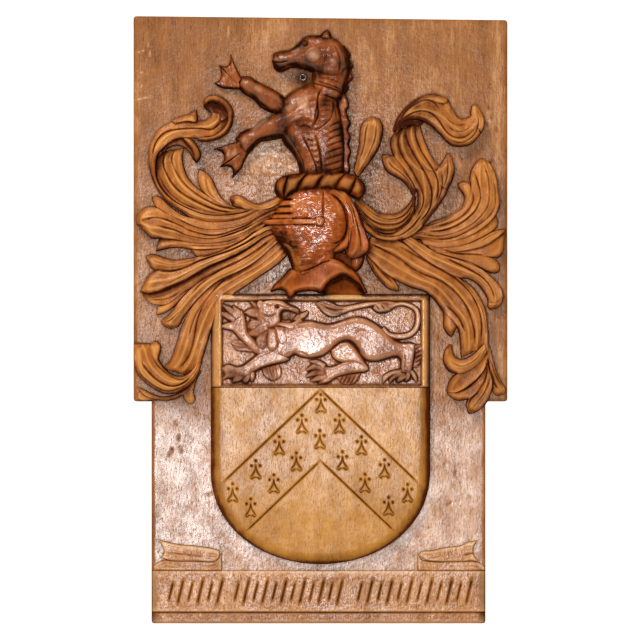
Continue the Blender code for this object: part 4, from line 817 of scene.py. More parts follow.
# %% Left mantling
LEFT_LEAVES = {
    "hook_under": leaf([(204, 106), (210, 104), (218, 104.5), (225, 109), (228, 117)], [(205, 108.5),
        (214, 114), (218, 115), (222, 121)], [8, 8, 10, 13, 16], bulge=0),
    "hook_rim": leaf([(204, 106), (205.5, 99.5), (212, 96), (220, 97), (227.5, 102), (232.5, 110),
        (233, 118), (231, 127), (226, 134), (219, 138.5), (208, 141), (198, 140.5)], [(207, 104.5),
        (209, 103), (214, 102.5), (225, 109), (228, 121), (225, 128), (214, 136.5), (199, 138.5)],
        [20, 25, 27, 26, 24, 22], bulge=3, tips=(3, 2)),
    "scroll": leaf([(212, 113), (210, 118), (204, 121), (196, 121.5), (186, 119.5), (176, 121), (159, 131),
        (150, 150), (151.5, 175), (163, 197), (183, 213), (196, 219), (210, 222), (225, 222), (240, 219),
        (255, 213), (268, 206), (282, 200)], [(226, 115), (227.5, 121), (224, 129), (217, 135),
        (208, 138.5), (199, 139), (190, 138), (175, 140), (160.5, 152), (156.5, 160), (157.5, 181),
        (170, 198.5), (196, 212.5), (212, 216), (245, 213), (265, 203), (281, 196)],
        [15, 17, 20, 22, 25, 27, 27, 25, 22, 20, 19, 19, 20, 21, 18], flutes=2, hollow=2.6, bulge=3,
        lean=[0, 0, 3, 4, 4, 2, 0], tips=(2, 0)),
    "scroll_spur": leaf([(195.5, 111), (189, 115), (181, 117.5), (172, 121.5)], [(196.5, 111),
        (196.8, 121.8), (188, 121.5), (176, 123.5)], [18, 20, 22], bulge=1),
    "scroll_shade": leaf([(162, 152), (167, 146), (174, 141), (182, 139.5), (189, 141.5), (196, 149),
        (199, 157)], [(164, 152.5), (169, 147.5), (177, 145), (184, 147), (190, 152.5), (194, 160)],
        [12, 11, 11, 11, 10], bulge=0, tips=(0, 2)),
    "scroll_tongue": leaf([(184, 138.5), (190, 139.5), (196, 145), (200, 153), (200, 158), (196.5, 162.5)],
        [(185, 140.5), (193, 151), (195.5, 162)], [23, 22, 20, 17, 13], bulge=2.5, tips=(0, 4)),
    "inner": leaf([(163, 152), (158.5, 157), (157.5, 178), (170, 197.5), (196, 211.5), (212, 215),
        (245, 212), (266, 202), (281, 198.5)], [(184, 148.5), (182, 157), (187, 177), (201, 191.5),
        (213, 199), (226, 206.5), (240, 209.5), (252, 208), (262, 204), (280, 197)],
        [11, 17, 21, 22, 22, 21, 20, 21, 18], flutes=3, hollow=2.2, bulge=3, tips=(3, 0)),
    "spike": leaf([(199.5, 170), (198.5, 178), (200, 186), (205, 193), (225, 206), (238, 209)],
        [(200, 170), (205.5, 173), (211, 178.5), (219, 195), (225, 201.5), (234, 207.5)],
        [13, 18, 21, 20, 19], flutes=1, hollow=1.5, bulge=1),
    "stub": leaf([(230, 198), (236, 196), (243, 197.5), (250, 202), (260, 205), (272, 201), (283, 195.5)],
        [(233.5, 206.5), (240, 207.5), (248, 210), (258, 211), (271, 208), (283, 202)],
        [18, 22, 22, 23, 24, 20], flutes=2, hollow=1.4, tips=(1, 0)),
    "fan1": leaf([(153, 197), (158, 196.5), (173, 209), (184, 216), (196, 219), (210, 222.5), (240, 219.5),
        (267, 206.5), (281, 202)], [(153, 201), (156.5, 207), (170, 216), (181, 220), (195, 226.5),
        (210, 230), (240, 226), (268, 212), (279, 208)], [15, 17, 18, 19, 20, 22, 20], flutes=1,
        hollow=1.5, bulge=1.5),
    "fan2": leaf([(137, 222), (138, 215.5), (142.5, 210), (150, 207), (157.5, 208.5), (166, 213.5),
        (175, 216.5), (198, 227.5), (212, 230), (240, 226), (268, 211.5), (278, 207)], [(137.5, 224.5),
        (146, 232.5), (151.5, 238), (160, 238), (172, 239), (200, 243.5), (228, 241), (242, 236),
        (258, 227.5), (271, 222)], [17, 22, 20, 17, 18, 20, 21, 22, 19], flutes=3, bulge=3),
    "fan3": leaf([(160, 238), (172, 238.5), (200, 243), (228, 240), (266, 223)], [(156.5, 251),
        (172, 247.5), (182, 247.5), (192, 249), (220, 248.5), (236, 244.5), (262, 229)],
        [14, 15, 17, 18, 20, 22], flutes=1, hollow=1.6, lean=[4, 2, 0], tips=(2, 0)),
    "fan3_under": leaf([(190, 248.5), (205, 249), (220, 248), (236, 244), (250, 236)], [(192, 251),
        (195, 255), (201, 257.5), (214, 254), (230, 248.5), (244, 242)], [13, 15, 17, 18], bulge=1.5,
        tips=(2, 0)),
    "fan4": leaf([(146, 257), (152, 254.5), (168, 259.5), (178, 260.5), (214, 253), (242, 242), (254, 234),
        (264, 228), (274, 225)], [(148, 262), (152.5, 268.5), (172, 271), (200, 261.5), (215, 256.5),
        (244, 244), (266, 231), (276, 228)], [13, 16, 17, 18, 20, 23, 21], flutes=2, hollow=1.5,
        tips=(3, 0)),
    "fan5": leaf([(147, 278), (152, 273), (159, 270.5), (172, 271.5), (200, 261), (215, 256), (246, 242),
        (258, 234), (268, 228), (278, 222)], [(141, 291.5), (150, 293), (182, 282), (208, 267), (236, 255),
        (250, 247), (262, 238), (273, 233), (283, 228)], [18, 20, 20, 20, 21, 21, 18], flutes=2,
        bulge=2.5),
    "fan6": leaf([(141.5, 291.5), (150, 293), (160, 291), (210, 266.5), (240, 254.5), (264, 237.5),
        (276, 230)], [(146, 298.5), (152, 303.5), (168, 304.5), (176, 299.5), (213, 276.5), (242, 263.5),
        (267, 246.5), (280, 238)], [7, 9, 11, 13, 16, 18, 18], flutes=2, hollow=1.2, tips=(2, 0)),
    "fan6_under": leaf([(158, 307), (167, 304.5), (186, 291.5), (198, 284)], [(156.5, 314.5), (165, 312.5),
        (193, 291), (204, 283)], [7, 9, 11, 13], bulge=1.5, tips=(2, 0)),
    "fan7": leaf([(170.5, 329), (164.5, 326), (162, 321.5), (170, 314.5), (181, 300), (197, 284.5),
        (223, 270), (238, 263), (264, 244), (272, 235), (281, 227)], [(172, 329), (178, 326.5),
        (185, 314.5), (214, 283.5), (240, 270.5), (256, 261), (279, 241), (290, 232)],
        [13, 17, 19, 20, 21, 21, 20, 17], flutes=2, hollow=2.6, bulge=2.5, lean=[0, 0, 2, 2], tips=(5, 0)),
    "fan8": leaf([(289, 232), (279, 241), (256, 261), (215, 283), (206, 290.5), (189.5, 311.5),
        (182.5, 326), (171.5, 359), (164, 368)], [(299, 244), (285.5, 256.5), (278, 263.5), (225, 301),
        (216.5, 313), (202.5, 357), (197.5, 367), (190, 376)],
        [16, 19, 19, 17, 15, 15, 17, 20, 21, 18, 12], flutes=3, hollow=2.2, bulge=2.5, tips=(0, 0)),
    "curl": leaf([(199, 357), (194.5, 368), (187, 375), (178, 376.5), (170, 373.5), (157, 359.5),
        (150, 344)], [(202, 360), (198.5, 372), (191, 383), (180, 391), (168, 393.5), (157, 390),
        (139, 375), (135, 363), (134, 343.5)], [12, 19, 23, 26, 27, 26, 24, 22], flutes=3, hollow=2.4,
        bulge=3.5, lean=[2, 2, 3, 4], tips=(0, 4)),
    "curl_ear": leaf([(155, 341.5), (151, 344.5), (150.5, 352), (154, 361), (161, 369)], [(157, 341.5),
        (160.5, 345.5), (160, 352), (158.5, 359), (163, 367)], [15, 19, 21, 22], bulge=1.5, tips=(3, 0)),
    "curl_rim": leaf([(138, 387), (160, 396.5), (171, 396), (182, 391), (191, 383), (199, 370)],
        [(140, 391.5), (148.5, 397), (160, 400), (172, 399.5), (183, 394.5), (192.5, 386), (200, 372)],
        [8, 9, 10, 10, 9], bulge=1, tips=(1, 0)),
    "curl_foot": leaf([(138, 393), (142, 391), (155, 398)], [(138.5, 399), (144, 400.5), (152, 400),
        (157, 400.5)], [5, 6, 6], bulge=1, tips=(1, 1)),
    "curl_tail": leaf([(189, 404), (185.5, 400.5), (183, 394), (199, 370)], [(191.5, 404), (194.5, 400.5),
        (193.5, 392), (195.5, 382), (201, 371)], [7, 9, 9, 8], flutes=1, hollow=1, bulge=1),
}
LEFT_CUTS = [
    ([(222, 122), (212, 130), (200, 129), (168, 132), (160, 138), (155, 147), (153, 158)], 3, 2.2),
    ([(165, 153), (163.5, 162), (166, 172), (178, 190), (215, 210), (232, 213)], 3, 2.2),
    ([(176, 148), (172, 160), (184, 183), (206, 200), (222, 207), (238, 210)], 2.6, 1.4),
    ([(160, 176), (165, 187), (174, 197), (186, 205), (200, 210.5)], 2.4, 1.2),
    ([(143, 220.5), (154, 218), (163, 219), (181, 226), (191, 231), (211, 235.5), (222, 234.5), (246, 226),
        (256, 220)], 3, 2.2),
    ([(158, 226), (174, 230), (189, 236), (213, 239), (240, 231), (252, 225)], 3, 2),
    ([(205, 172.5), (209, 192), (217, 200)], 2.5, 1),
    ([(165, 246), (180, 244.5), (195, 246), (225, 245), (240, 240)], 2.4, 1),
    ([(150, 260), (172, 265), (200, 259)], 2.4, 1.2),
    ([(158, 271), (172, 271.5), (185, 268), (200, 261), (232, 250), (246, 243), (258, 235)], 3, 2.5),
    ([(160, 291), (184, 281), (212, 265.5), (228, 259), (244, 251), (258, 242)], 3, 2.5),
    ([(200, 257.5), (214, 254), (244, 240), (256, 231)], 3, 2),
    ([(165, 285), (180, 278), (195, 269), (226, 256)], 2.2, 0.8),
    ([(150, 299), (160, 300), (170, 298), (180, 292)], 2.4, 1),
    ([(230, 277), (222, 282), (198, 312), (192, 326), (189, 338)], 3, 2),
    ([(212, 293), (205, 303), (199, 316), (193, 345), (188, 358), (180, 368)], 3, 2),
    ([(200, 306), (194, 318), (190, 330)], 2.2, 1),
    ([(141, 360), (147, 369), (155, 377.5), (165, 384), (175, 386), (185, 382), (192, 375)], 3, 2.2),
    ([(152, 352), (155, 360), (161, 368.5), (180, 379.5), (188, 377)], 2.6, 1.5),
    ([(137, 366), (143, 376), (163, 389.5), (174, 390), (184, 385)], 2.6, 1.2),
    ([(165, 322.5), (170, 320.5), (181, 311)], 2.2, 1.4),
    ([(270, 240), (258, 250), (243, 259), (226, 267), (200, 285), (192, 294)], 2.6, 1.4),
]
left_mantling = carve("left_mantling", LEFT_LEAVES, LEFT_CUTS, loosen)

# %% [markdown]
# The right side mirrors the left only roughly: the arch on top is open, a second fan hangs lower, and a
# plume stands behind the wreath.

# %% Right mantling
RIGHT_LEAVES = {
    "arch": leaf([(393.5, 131), (395, 124.5), (399.5, 115.5), (413.5, 101.5), (430, 95), (445, 99.5),
        (458.5, 119), (470, 117.5), (472, 113)], [(395.5, 132), (402, 122), (417, 119.5), (432, 127),
        (449, 143.5), (455, 146), (468, 145), (475, 140), (479.5, 134)],
        [12, 18, 23, 26, 28, 28, 27, 25, 23, 21, 20], flutes=2, hollow=2.4, bulge=3.5, tips=(2, 0)),
    "arch_knob": leaf([(433, 99), (438, 96.5), (447.5, 99.5)], [(433, 104), (444, 104.5), (447, 103.5)],
        [26, 27, 26], tips=(1, 2)),
    "arch_hook": leaf([(471.5, 119), (471, 113), (472, 107), (473.5, 105)], [(481, 133), (483.5, 126),
        (483, 118), (476.5, 106.5), (474.5, 105)], [20, 20, 19, 16], flutes=2, bulge=2.5, tips=(0, 3)),
    "arch_shade": leaf([(396, 129), (401, 122.5), (409, 120), (417, 120.5), (423, 122.5)], [(396, 134),
        (401, 128), (414, 124.5), (420, 126)], [10, 10, 9, 8], bulge=0, tips=(1, 1)),
    "fall": leaf([(396, 131), (391.5, 138), (391, 147), (394, 156), (406, 172), (417, 192), (418, 202),
        (415, 213), (409, 223), (400, 231)], [(420, 122.5), (421, 131), (433, 160), (446, 172),
        (452.5, 172), (449, 184), (445, 195), (422, 226), (410, 236), (396, 241)],
        [10, 16, 20, 23, 24, 24, 24, 24, 22, 20], flutes=3, hollow=2.4, bulge=3, tips=(3, 0)),
    "fall_spur": leaf([(447.5, 153.5), (444.5, 159), (436, 172), (434, 182)], [(448.5, 153.5), (452, 161),
        (454, 170), (452, 179), (447, 190)], [20, 23, 24, 24], flutes=1, hollow=1.6, tips=(3, 0)),
    "tongue": leaf([(383, 155), (390, 155.5), (397, 159), (410, 176), (416, 188)], [(382, 157),
        (383.5, 165), (387.5, 171.5), (402, 180.5), (409, 188.5), (413.5, 197)], [14, 18, 20, 20],
        flutes=2, hollow=1.5, bulge=1.5, tips=(3, 0)),
    "cup": leaf([(413.5, 195), (410.5, 202), (398, 213.5), (380, 213.5), (370, 208), (354, 193)],
        [(415.5, 198), (414.5, 210), (411, 219.5), (404, 228), (395, 232.5), (384, 233), (374, 229),
        (366, 222), (356, 208)], [14, 17, 19, 20, 20, 18, 17], flutes=4, hollow=1.8, bulge=1.5,
        lean=[-4, -5, -5, -4, -2], tips=(1, 0)),
    "cup_rim": leaf([(413, 215), (408, 224), (393, 234), (384, 234.5), (374, 231), (366, 224.5),
        (359, 214)], [(423, 227), (413, 235), (402, 239.5), (390, 240.5), (378, 238.5), (368, 233),
        (359, 224)], [20, 21, 22, 22, 21, 18], lean=[0, 2, 2, 0], tips=(0, 0)),
    "plume": leaf([(354, 171.5), (359, 148), (361.5, 126), (365.5, 120.5), (371, 117.5)], [(357.5, 177),
        (363, 170.5), (379.5, 145), (382, 125), (378, 119), (372.5, 117.5)], [20, 21, 22, 22, 20],
        flutes=3, hollow=1.8, bulge=3, tips=(0, 5)),
    "rcurl": leaf([(458, 184), (463.5, 182), (468.5, 183.5), (471, 189), (466, 204.5), (449, 219),
        (437, 223.5), (424, 226)], [(458.5, 188), (464, 196), (463.5, 203), (458.5, 210), (440, 219.5),
        (432, 222), (424, 228)], [13, 18, 20, 20, 20, 18], tips=(3, 0)),
    "rfan1": leaf([(480.5, 159), (476, 163), (471.5, 171), (470, 179), (471, 188), (465.5, 203.5),
        (448, 218.5), (411, 230)], [(482, 159), (488, 162.5), (494, 172), (497, 184), (497.5, 193),
        (499.5, 202), (497.5, 211), (491, 220.5), (468, 236.5), (440, 243), (412, 238)],
        [15, 20, 22, 23, 23, 23, 23, 22, 20, 18], flutes=3, hollow=2.4, bulge=3.5, tips=(5, 0)),
    "rfan2": leaf([(495.5, 214.5), (486, 223.5), (474, 232), (460, 238.5), (446, 241.5), (432, 241.5),
        (420, 239)], [(498, 222), (496, 227.5), (466, 244.5), (438, 248), (424, 245)],
        [13, 17, 19, 20, 19], flutes=1, hollow=1.2, tips=(3, 0)),
    "rfan3": leaf([(504.5, 229.5), (494, 231.5), (482, 238), (468, 244), (440, 247.5), (426, 244.5)],
        [(505, 231.5), (488, 244), (476, 248.5), (448, 253), (434, 252)], [15, 18, 19, 19, 18], flutes=1,
        hollow=1.4, tips=(3, 0)),
    "rfan4": leaf([(505, 234), (498, 237), (488, 243.5), (476, 248), (448, 252), (434, 251)],
        [(503.5, 243), (502.5, 252), (498, 257.5), (491, 257), (438, 254.5)], [12, 15, 16, 16, 17, 18],
        flutes=1, hollow=1.6, tips=(2, 0)),
    "rfan5": leaf([(496, 260.5), (488, 256.5), (450, 254), (436, 252.5)], [(499.5, 266), (498.5, 271.5),
        (492, 273), (472, 265), (448, 258), (436, 256)], [14, 16, 17, 18, 18], flutes=1, hollow=1,
        bulge=2.5, tips=(3, 0)),
    "rfan6": leaf([(410, 237), (422, 244), (436, 253), (476, 266), (501.5, 290), (501, 304), (496, 308.5)],
        [(402, 241), (428, 261.5), (454, 276.5), (470, 279.5), (478, 284.5), (488, 300), (488, 306.5),
        (490, 309)], [20, 22, 23, 23, 22, 21, 20, 18], flutes=2, hollow=2.4, bulge=3, tips=(0, 5)),
    "rband": leaf([(371, 237), (385, 239.5), (398, 241), (410, 248.5), (422, 256), (462, 281),
        (479.5, 305), (484, 318), (485.5, 333), (484, 346)], [(366, 254), (386, 273.5), (412, 287.5),
        (424, 291), (433, 298), (446, 315), (453, 321), (458.5, 330), (461.5, 357)],
        [22, 21, 21, 20, 20, 21, 23, 24, 24, 22, 18], flutes=3, hollow=2.4, bulge=3.5, tips=(0, 0)),
    "rband_edge": leaf([(452, 274), (464, 281), (474, 290), (481.5, 301), (486, 315), (488.5, 350)],
        [(450, 277), (462, 285), (471, 294), (478, 306), (482, 319), (483.5, 334), (482.5, 352)],
        [14, 17, 18, 18, 17, 16], bulge=1.5, tips=(0, 0)),
    "rleaf": leaf([(367, 256), (383, 269), (397, 285), (398.5, 290.5)], [(366.5, 258.5), (375, 274),
        (389, 288.5), (397, 291)], [15, 14, 13, 10], flutes=2, hollow=1.2, bulge=1.5, tips=(0, 2)),
    "rdrop": leaf([(437, 300), (442, 308), (444, 318), (444, 327), (447, 333.5), (450.5, 336.5)],
        [(446, 304), (457, 319), (456.5, 326), (451.5, 336.5)], [18, 19, 18, 15], bulge=2.5, tips=(0, 4)),
    "wrap": leaf([(484, 344), (470, 356.5), (461, 359.5), (455, 357.5), (452, 352), (451, 345)],
        [(486, 352), (480, 361.5), (470, 369.5), (460, 373), (451, 372), (445.5, 366.5), (443.5, 359),
        (445, 351), (449.5, 345)], [20, 23, 25, 25, 23, 20, 16], flutes=2, hollow=1.8, bulge=3,
        tips=(0, 3)),
    "lobe1": leaf([(485, 352), (478, 362), (468, 370.5), (458, 373.5), (452, 377.5), (448.5, 384),
        (447, 390.5)], [(488, 356), (484, 368), (476, 379), (457, 391.5), (448, 392.5)],
        [16, 20, 21, 21, 18, 13], flutes=1, hollow=2.5, bulge=1, tips=(0, 3)),
    "lobe2": leaf([(486, 362), (481, 374), (472, 384), (462, 390), (453, 392.5), (447, 393)],
        [(488.5, 365), (486.5, 377), (481, 388.5), (473, 396), (464, 399.5), (455, 399.5), (448.5, 395)],
        [14, 17, 18, 17, 15, 12], flutes=1, bulge=1.5, tips=(0, 3)),
    "lobe3": leaf([(486, 364), (483, 376), (477, 388), (469.5, 397), (466.5, 404), (467.5, 411)],
        [(489.5, 364), (491.5, 378), (491, 390), (487, 401), (478, 410.5), (470, 413.5), (468.5, 413)],
        [13, 17, 18, 17, 16, 12], flutes=2, tips=(0, 3)),
    "lobe4": leaf([(486, 350), (488.5, 362), (493, 392), (496, 395)], [(489, 346), (496, 372), (501, 382),
        (505, 389), (504, 393.5), (499, 395.5)], [14, 15, 14, 12, 10], flutes=2, hollow=1.5, bulge=1.5,
        tips=(0, 2)),
}
RIGHT_CUTS = [
    ([(399, 124), (406, 112), (425, 101), (433, 103), (440, 111)], 2.6, 1.4),
    ([(402, 121), (410, 115), (420, 112), (430, 114), (438, 121), (444, 130), (450, 136), (458, 138.5),
        (466, 137), (473, 131)], 2.8, 1.8),
    ([(447, 127), (453, 131), (459, 132.5), (466, 130.5), (471, 126)], 2.4, 1.2),
    ([(446, 119), (452, 124), (459, 126), (466, 124.5)], 2.4, 1),
    ([(448, 139), (455, 142.5), (462, 143), (470, 139), (476, 132), (478, 122), (475, 110)], 2.6, 1.6),
    ([(406, 126), (406, 137), (411, 150), (427, 178), (431, 190), (431, 203), (427, 213), (419, 223)],
        3, 2.2),
    ([(415, 125), (416, 138), (421, 151), (436, 177), (438, 190), (436, 201)], 2.8, 1.8),
    ([(399, 133), (398, 145), (403, 158), (411, 170), (423, 196), (422, 207), (416, 218)], 2.8, 1.6),
    ([(441, 172), (442, 182), (441, 192), (436, 204)], 2.6, 1.4),
    ([(447, 158), (447.5, 168), (446, 180), (441, 193)], 2.6, 1.2),
    ([(386, 158), (392, 167), (400, 173), (408, 181), (414, 192)], 2.4, 1.2),
    ([(364, 206), (371, 213), (381, 218), (391, 219.5), (401, 217), (409, 210.5), (413.5, 203)], 2.6, 1.6),
    ([(360, 209), (368, 218), (378, 223.5), (390, 225), (402, 222), (410, 214.5)], 2.6, 1.6),
    ([(358, 213), (366, 223), (376, 229), (388, 231), (399, 228.5), (408, 220)], 2.6, 1.6),
    ([(368, 228), (378, 234.5), (390, 237), (401, 235), (412, 227), (420, 217)], 2.4, 1.2),
    ([(360, 160), (364, 145), (366, 130), (369, 122)], 2.6, 1.4),
    ([(363, 165), (370, 152), (375, 138), (376, 124)], 2.6, 1.4),
    ([(474, 172), (480, 197), (476, 209), (467, 219), (455, 226.5), (441, 231), (426, 231.5)], 3, 2.2),
    ([(484, 166), (488, 180), (487, 207), (468, 227), (440, 236.5), (424, 235)], 3, 2),
    ([(471, 190), (473, 199), (469, 209), (461, 217), (450, 223), (436, 227)], 2.6, 1.6),
    ([(493, 180), (495, 195), (494, 208), (487, 218.5), (462, 234.5), (448, 239), (434, 240)], 2.6, 1.4),
    ([(482, 241), (490, 236), (500, 231.5)], 2.2, 1),
    ([(440, 249), (455, 253.5), (472, 254.5), (486, 255.5)], 2.6, 1.6),
    ([(436, 253), (465, 262), (492, 273.5)], 2.6, 2),
    ([(445, 258), (474, 272.5), (485, 280.5), (492, 291), (494, 300)], 3, 2.2),
    ([(488, 302), (494, 303), (500, 300)], 2.4, 1.2),
    ([(370, 243.5), (400, 259.5), (415, 270.5), (445, 284), (464, 303.5), (473.5, 329), (474.5, 343)],
        3, 2.2),
    ([(402, 262), (415, 272.5), (427, 279)], 2.2, 1.2),
    ([(400, 247), (430, 264), (445, 272), (458, 281), (469, 292), (477, 306), (481, 322), (481, 340)],
        3, 2),
    ([(446, 306), (454, 313), (460, 321), (464, 331)], 2.8, 1.8),
    ([(374, 262), (381, 272), (395, 285)], 2.4, 1.2),
    ([(370, 262), (376, 273), (383, 281.5), (390, 287)], 2.4, 1.2),
    ([(452, 362), (459, 366), (468, 364), (476, 358.5), (482, 351)], 2.6, 1.6),
    ([(482, 372), (474, 382), (465, 389), (456, 393)], 2.8, 1.6),
    ([(488, 366), (484, 381), (477, 392), (470, 400), (468, 408)], 2.8, 1.6),
    ([(489.5, 380), (484, 392), (471, 409)], 2.6, 1.4),
    ([(487, 355), (489, 368), (493, 381), (499, 391)], 2.8, 1.6),
    ([(488, 352), (492, 366), (498, 380), (503, 388)], 2.6, 1.2),
]
right_mantling = carve("right_mantling", RIGHT_LEAVES, RIGHT_CUTS, loosen)

# %% [markdown]
# The crest is the front half of a sea-horse: a horse's head and neck, a body with a scaly belly, a ragged
# fin down the back, and webbed hands. The limbs are parts with a deep round edge, so they look like rods
# laid on the board. Its belly plates are a row of short cuts.

# %% Crest


def web(left, right, rise, notch):
    """The skin between two fingers, hollow between them and cut back at its edge."""
    return part(left, right, rise, flutes=1, hollow=2.2, roll=(3, 2), notch=(0, notch), ends=(False, True))


CREST = {
    "arm_far": part([(290, 106), (284, 98), (277, 92.5), (256, 81), (250, 77), (240, 77)], [(286, 116),
        (268, 111), (260, 106), (254, 99.5), (243, 92.5), (237, 86)], [26, 25, 23, 21, 19, 17, 14],
        roll=(12, 10.5), ends=(False, True)),
    "far_web1": web([(241, 79), (233.5, 63), (230.5, 54.5)], [(238, 84), (230, 76.5), (224.5, 70),
        (219.5, 65.5)], [15, 13, 12, 10], 6.5),
    "far_web2": web([(239, 83), (230, 76.5), (219.5, 66.5)], [(240, 89), (222, 87.5), (214.5, 83)],
        [15, 12, 11, 9], 5),
    "torso": part([(312.5, 83), (304, 87.5), (295, 90.5), (287, 96), (282, 104), (280, 114), (282, 138),
        (286, 146), (293, 153.5), (297.5, 161), (299.5, 169), (300, 180)], [(343, 93), (338, 100),
        (340.5, 118), (343.5, 145), (343.5, 180)], [27, 30, 32, 33, 33, 32, 31, 31], roll=(22, 14),
        ends=(False, False)),
    "fin": part([(341, 92), (337.5, 100), (341, 128), (342.5, 145), (342.5, 178)], [(345, 93.5),
        (348.5, 106), (346, 111.5), (350, 124), (347.5, 130.5), (350, 137.5), (348.5, 145), (350.5, 152),
        (348.5, 160), (349.5, 168), (348, 178)], [17, 18, 19, 19, 19], roll=(3, 2), ends=(False, False)),
    "neck": part([(318, 64), (313.5, 72), (312.5, 86), (313, 92)], [(349, 62), (349, 74), (340, 100)],
        [31, 31, 30, 31, 30], roll=(16, 11), ends=(False, False)),
    "head": part([(272.5, 60.5), (273.5, 54.5), (280, 52), (288, 51), (295, 47), (306.5, 37), (315, 36.5),
        (322, 36), (338, 41.5), (348, 58), (349, 68)], [(272.5, 62), (274, 68), (279, 71.5), (285, 70.5),
        (292, 67.5), (300, 68), (314, 73), (322, 78), (338, 80), (344, 77), (348, 71)],
        [22, 26, 29, 31, 33, 34, 33, 31], roll=(14, 12)),
    "mane": part([(342, 46), (346, 55), (347, 78), (343, 87), (343, 93)], [(344.5, 46.5), (350, 54.5),
        (349, 60), (352.5, 66), (350.5, 72), (352.5, 78.5), (347.5, 84), (348.5, 88.5), (344.5, 94)],
        [17, 19, 19, 18, 17], roll=(3, 2)),
    "ear": part([(320.5, 40), (322, 34.5), (327, 31)], [(330.5, 41), (329.5, 32.5), (328, 31)],
        [33, 33, 31], roll=(4, 4)),
    "arm_near": part([(318, 96), (304, 100), (284, 111), (261, 121.5), (254, 128), (247, 130),
        (240.5, 133.5), (236, 139)], [(312, 129.5), (306, 127), (298, 129), (290, 134), (282, 137.5),
        (270, 140), (260, 142), (246.5, 154), (240, 150)], [35, 35, 34, 32, 29, 26, 23, 20],
        roll=(15, 12.5), ends=(False, True)),
    "near_web1": web([(242, 142), (232, 144), (213.5, 149.5)], [(244, 151), (236, 156), (220.5, 166.5)],
        [17, 15, 13, 10], 8),
    "near_web2": web([(243, 150), (236, 157), (221, 167)], [(249, 152), (244.5, 160), (240, 169.5),
        (232, 177.5)], [17, 14, 12, 10], 7),
}
CREST_CUTS = [
    ([(273.5, 62.5), (280, 63.5), (288, 62)], 2.6, 1.8),
    ([(277, 57), (277.4, 57)], 3.5, 1.6),
    ([(305, 44.5), (305.4, 44.5)], 9, 1.2),
    ([(316, 82), (336, 88.5), (344, 93.5)], 2.6, 1.8),
    ([(312.5, 84), (335, 91), (343, 95)], 2.8, 2.4),
    ([(319, 79), (330, 80.5), (342, 85)], 2, 1.2),
    ([(333, 44), (338, 54), (340, 66), (337, 78)], 2.6, 1),
    ([(322, 89), (318.5, 96), (317.5, 105), (318.5, 114), (316, 122), (311.5, 129.5)], 2.8, 2.6),
    ([(311.5, 129.5), (318, 130), (330, 120.5), (333, 112), (333, 101)], 2.6, 1.8),
    ([(300, 128), (306, 126.5), (311, 129.5)], 2.6, 2),
    ([(333, 100), (335, 110), (337, 122)], 2.2, 0.9),
    ([(303, 137), (315, 164), (317.5, 175)], 2.6, 1.6),
    ([(314, 133), (318.5, 147), (322.5, 175)], 2.6, 1.8),
    ([(290, 138), (303, 163), (304, 175)], 2.2, 0.9),
]
RIB_COUNT, RIB_ROW, RIB_SPACING = 8, 173.5, 6.5
PLATE_COUNT, PLATE_ROW, PLATE_SPACING = 6, 140, 5.5
SCALE_ROW, SCALE_SPACING = 97, 5
CREST_EYE, SOCKET_RADIUS, SOCKET_DEPTH = (305, 44.5), 5.6, 3.2


def crest_rows():
    """Ribs down the back, belly plates in front of them and scales on the throat flap."""
    cuts = []
    for k in range(RIB_COUNT):
        row = RIB_ROW - RIB_SPACING * k
        cuts.append(([(324 + 0.8 * k, row), (334, row - 3), (343, row - 6)], 2.8, 2.0))
    for k in range(PLATE_COUNT):
        row = PLATE_ROW + PLATE_SPACING * k
        cuts.append(([(306 + 2 * k, row), (312 + 1.6 * k, row + 1.2), (318 + 0.7 * k, row - 0.5)], 2.2, 1.1))
        row = SCALE_ROW + SCALE_SPACING * k
        cuts.append(([(319, row), (324, row - 0.8), (331, row - 0.8)], 2.0, 0.9))
    return cuts


def bowl(x, z, place, radius, depth):
    """A round hollow at a place of the sheet."""
    gap = np.hypot(x - mm_x(place[0]), z - mm_z(place[1]))
    return depth * np.clip(1 - (gap / radius)**2, 0, 1)


def crest_finish(part_name, x, z, across, along):
    """Small gouge cups and soft hills, with the socket of the eye among them."""
    skin = 0.5 * cups(x, z, 6.0, 41) + 0.4 * hills(x, z, 12, 14, 42)
    return skin + bowl(x, z, CREST_EYE, SOCKET_RADIUS, SOCKET_DEPTH)


eye_ball = button(*CREST_EYE, 2.1, 31.5, 2.6)
cheek = button(314, 56, 8, 34.3, 2.0)
crest = carve("crest", CREST, CREST_CUTS + crest_rows(), crest_finish, extra=(eye_ball, cheek),
              step_across=1.0)

# %% [markdown]
# The helmet is seen from the side with its visor shut. The twisted wreath sits on it, a cloth hangs behind
# it and the neck plate spreads below. Its skin was left in small gouge cups, like hammered steel.

# %% Helmet, wreath and neck plate
TURNS = (
    [(277.5, 196.5), (275, 190), (277, 181.5), (283, 176.5)], [(284, 199), (284.5, 190), (288.5, 175.5)],
    [(297, 192.5), (300.5, 183), (308, 172.8)], [(315.5, 191.5), (319, 182.5), (327, 172.2)],
    [(334.5, 191), (338, 183), (345.5, 173.8)], [(349.5, 195), (353, 186.5), (357, 176.8)],
    [(359, 200), (364.5, 192), (364, 184.5), (358.5, 178)],
)


def wreath_strands():
    """Each turn of the twisted wreath is a round cushion between two slanting grooves."""
    heights = [30, 35.5, 36, 31]
    return {f"strand{k}": part(TURNS[k], TURNS[k + 1], heights, roll=(8.5, 8)) for k in range(len(TURNS) - 1)}


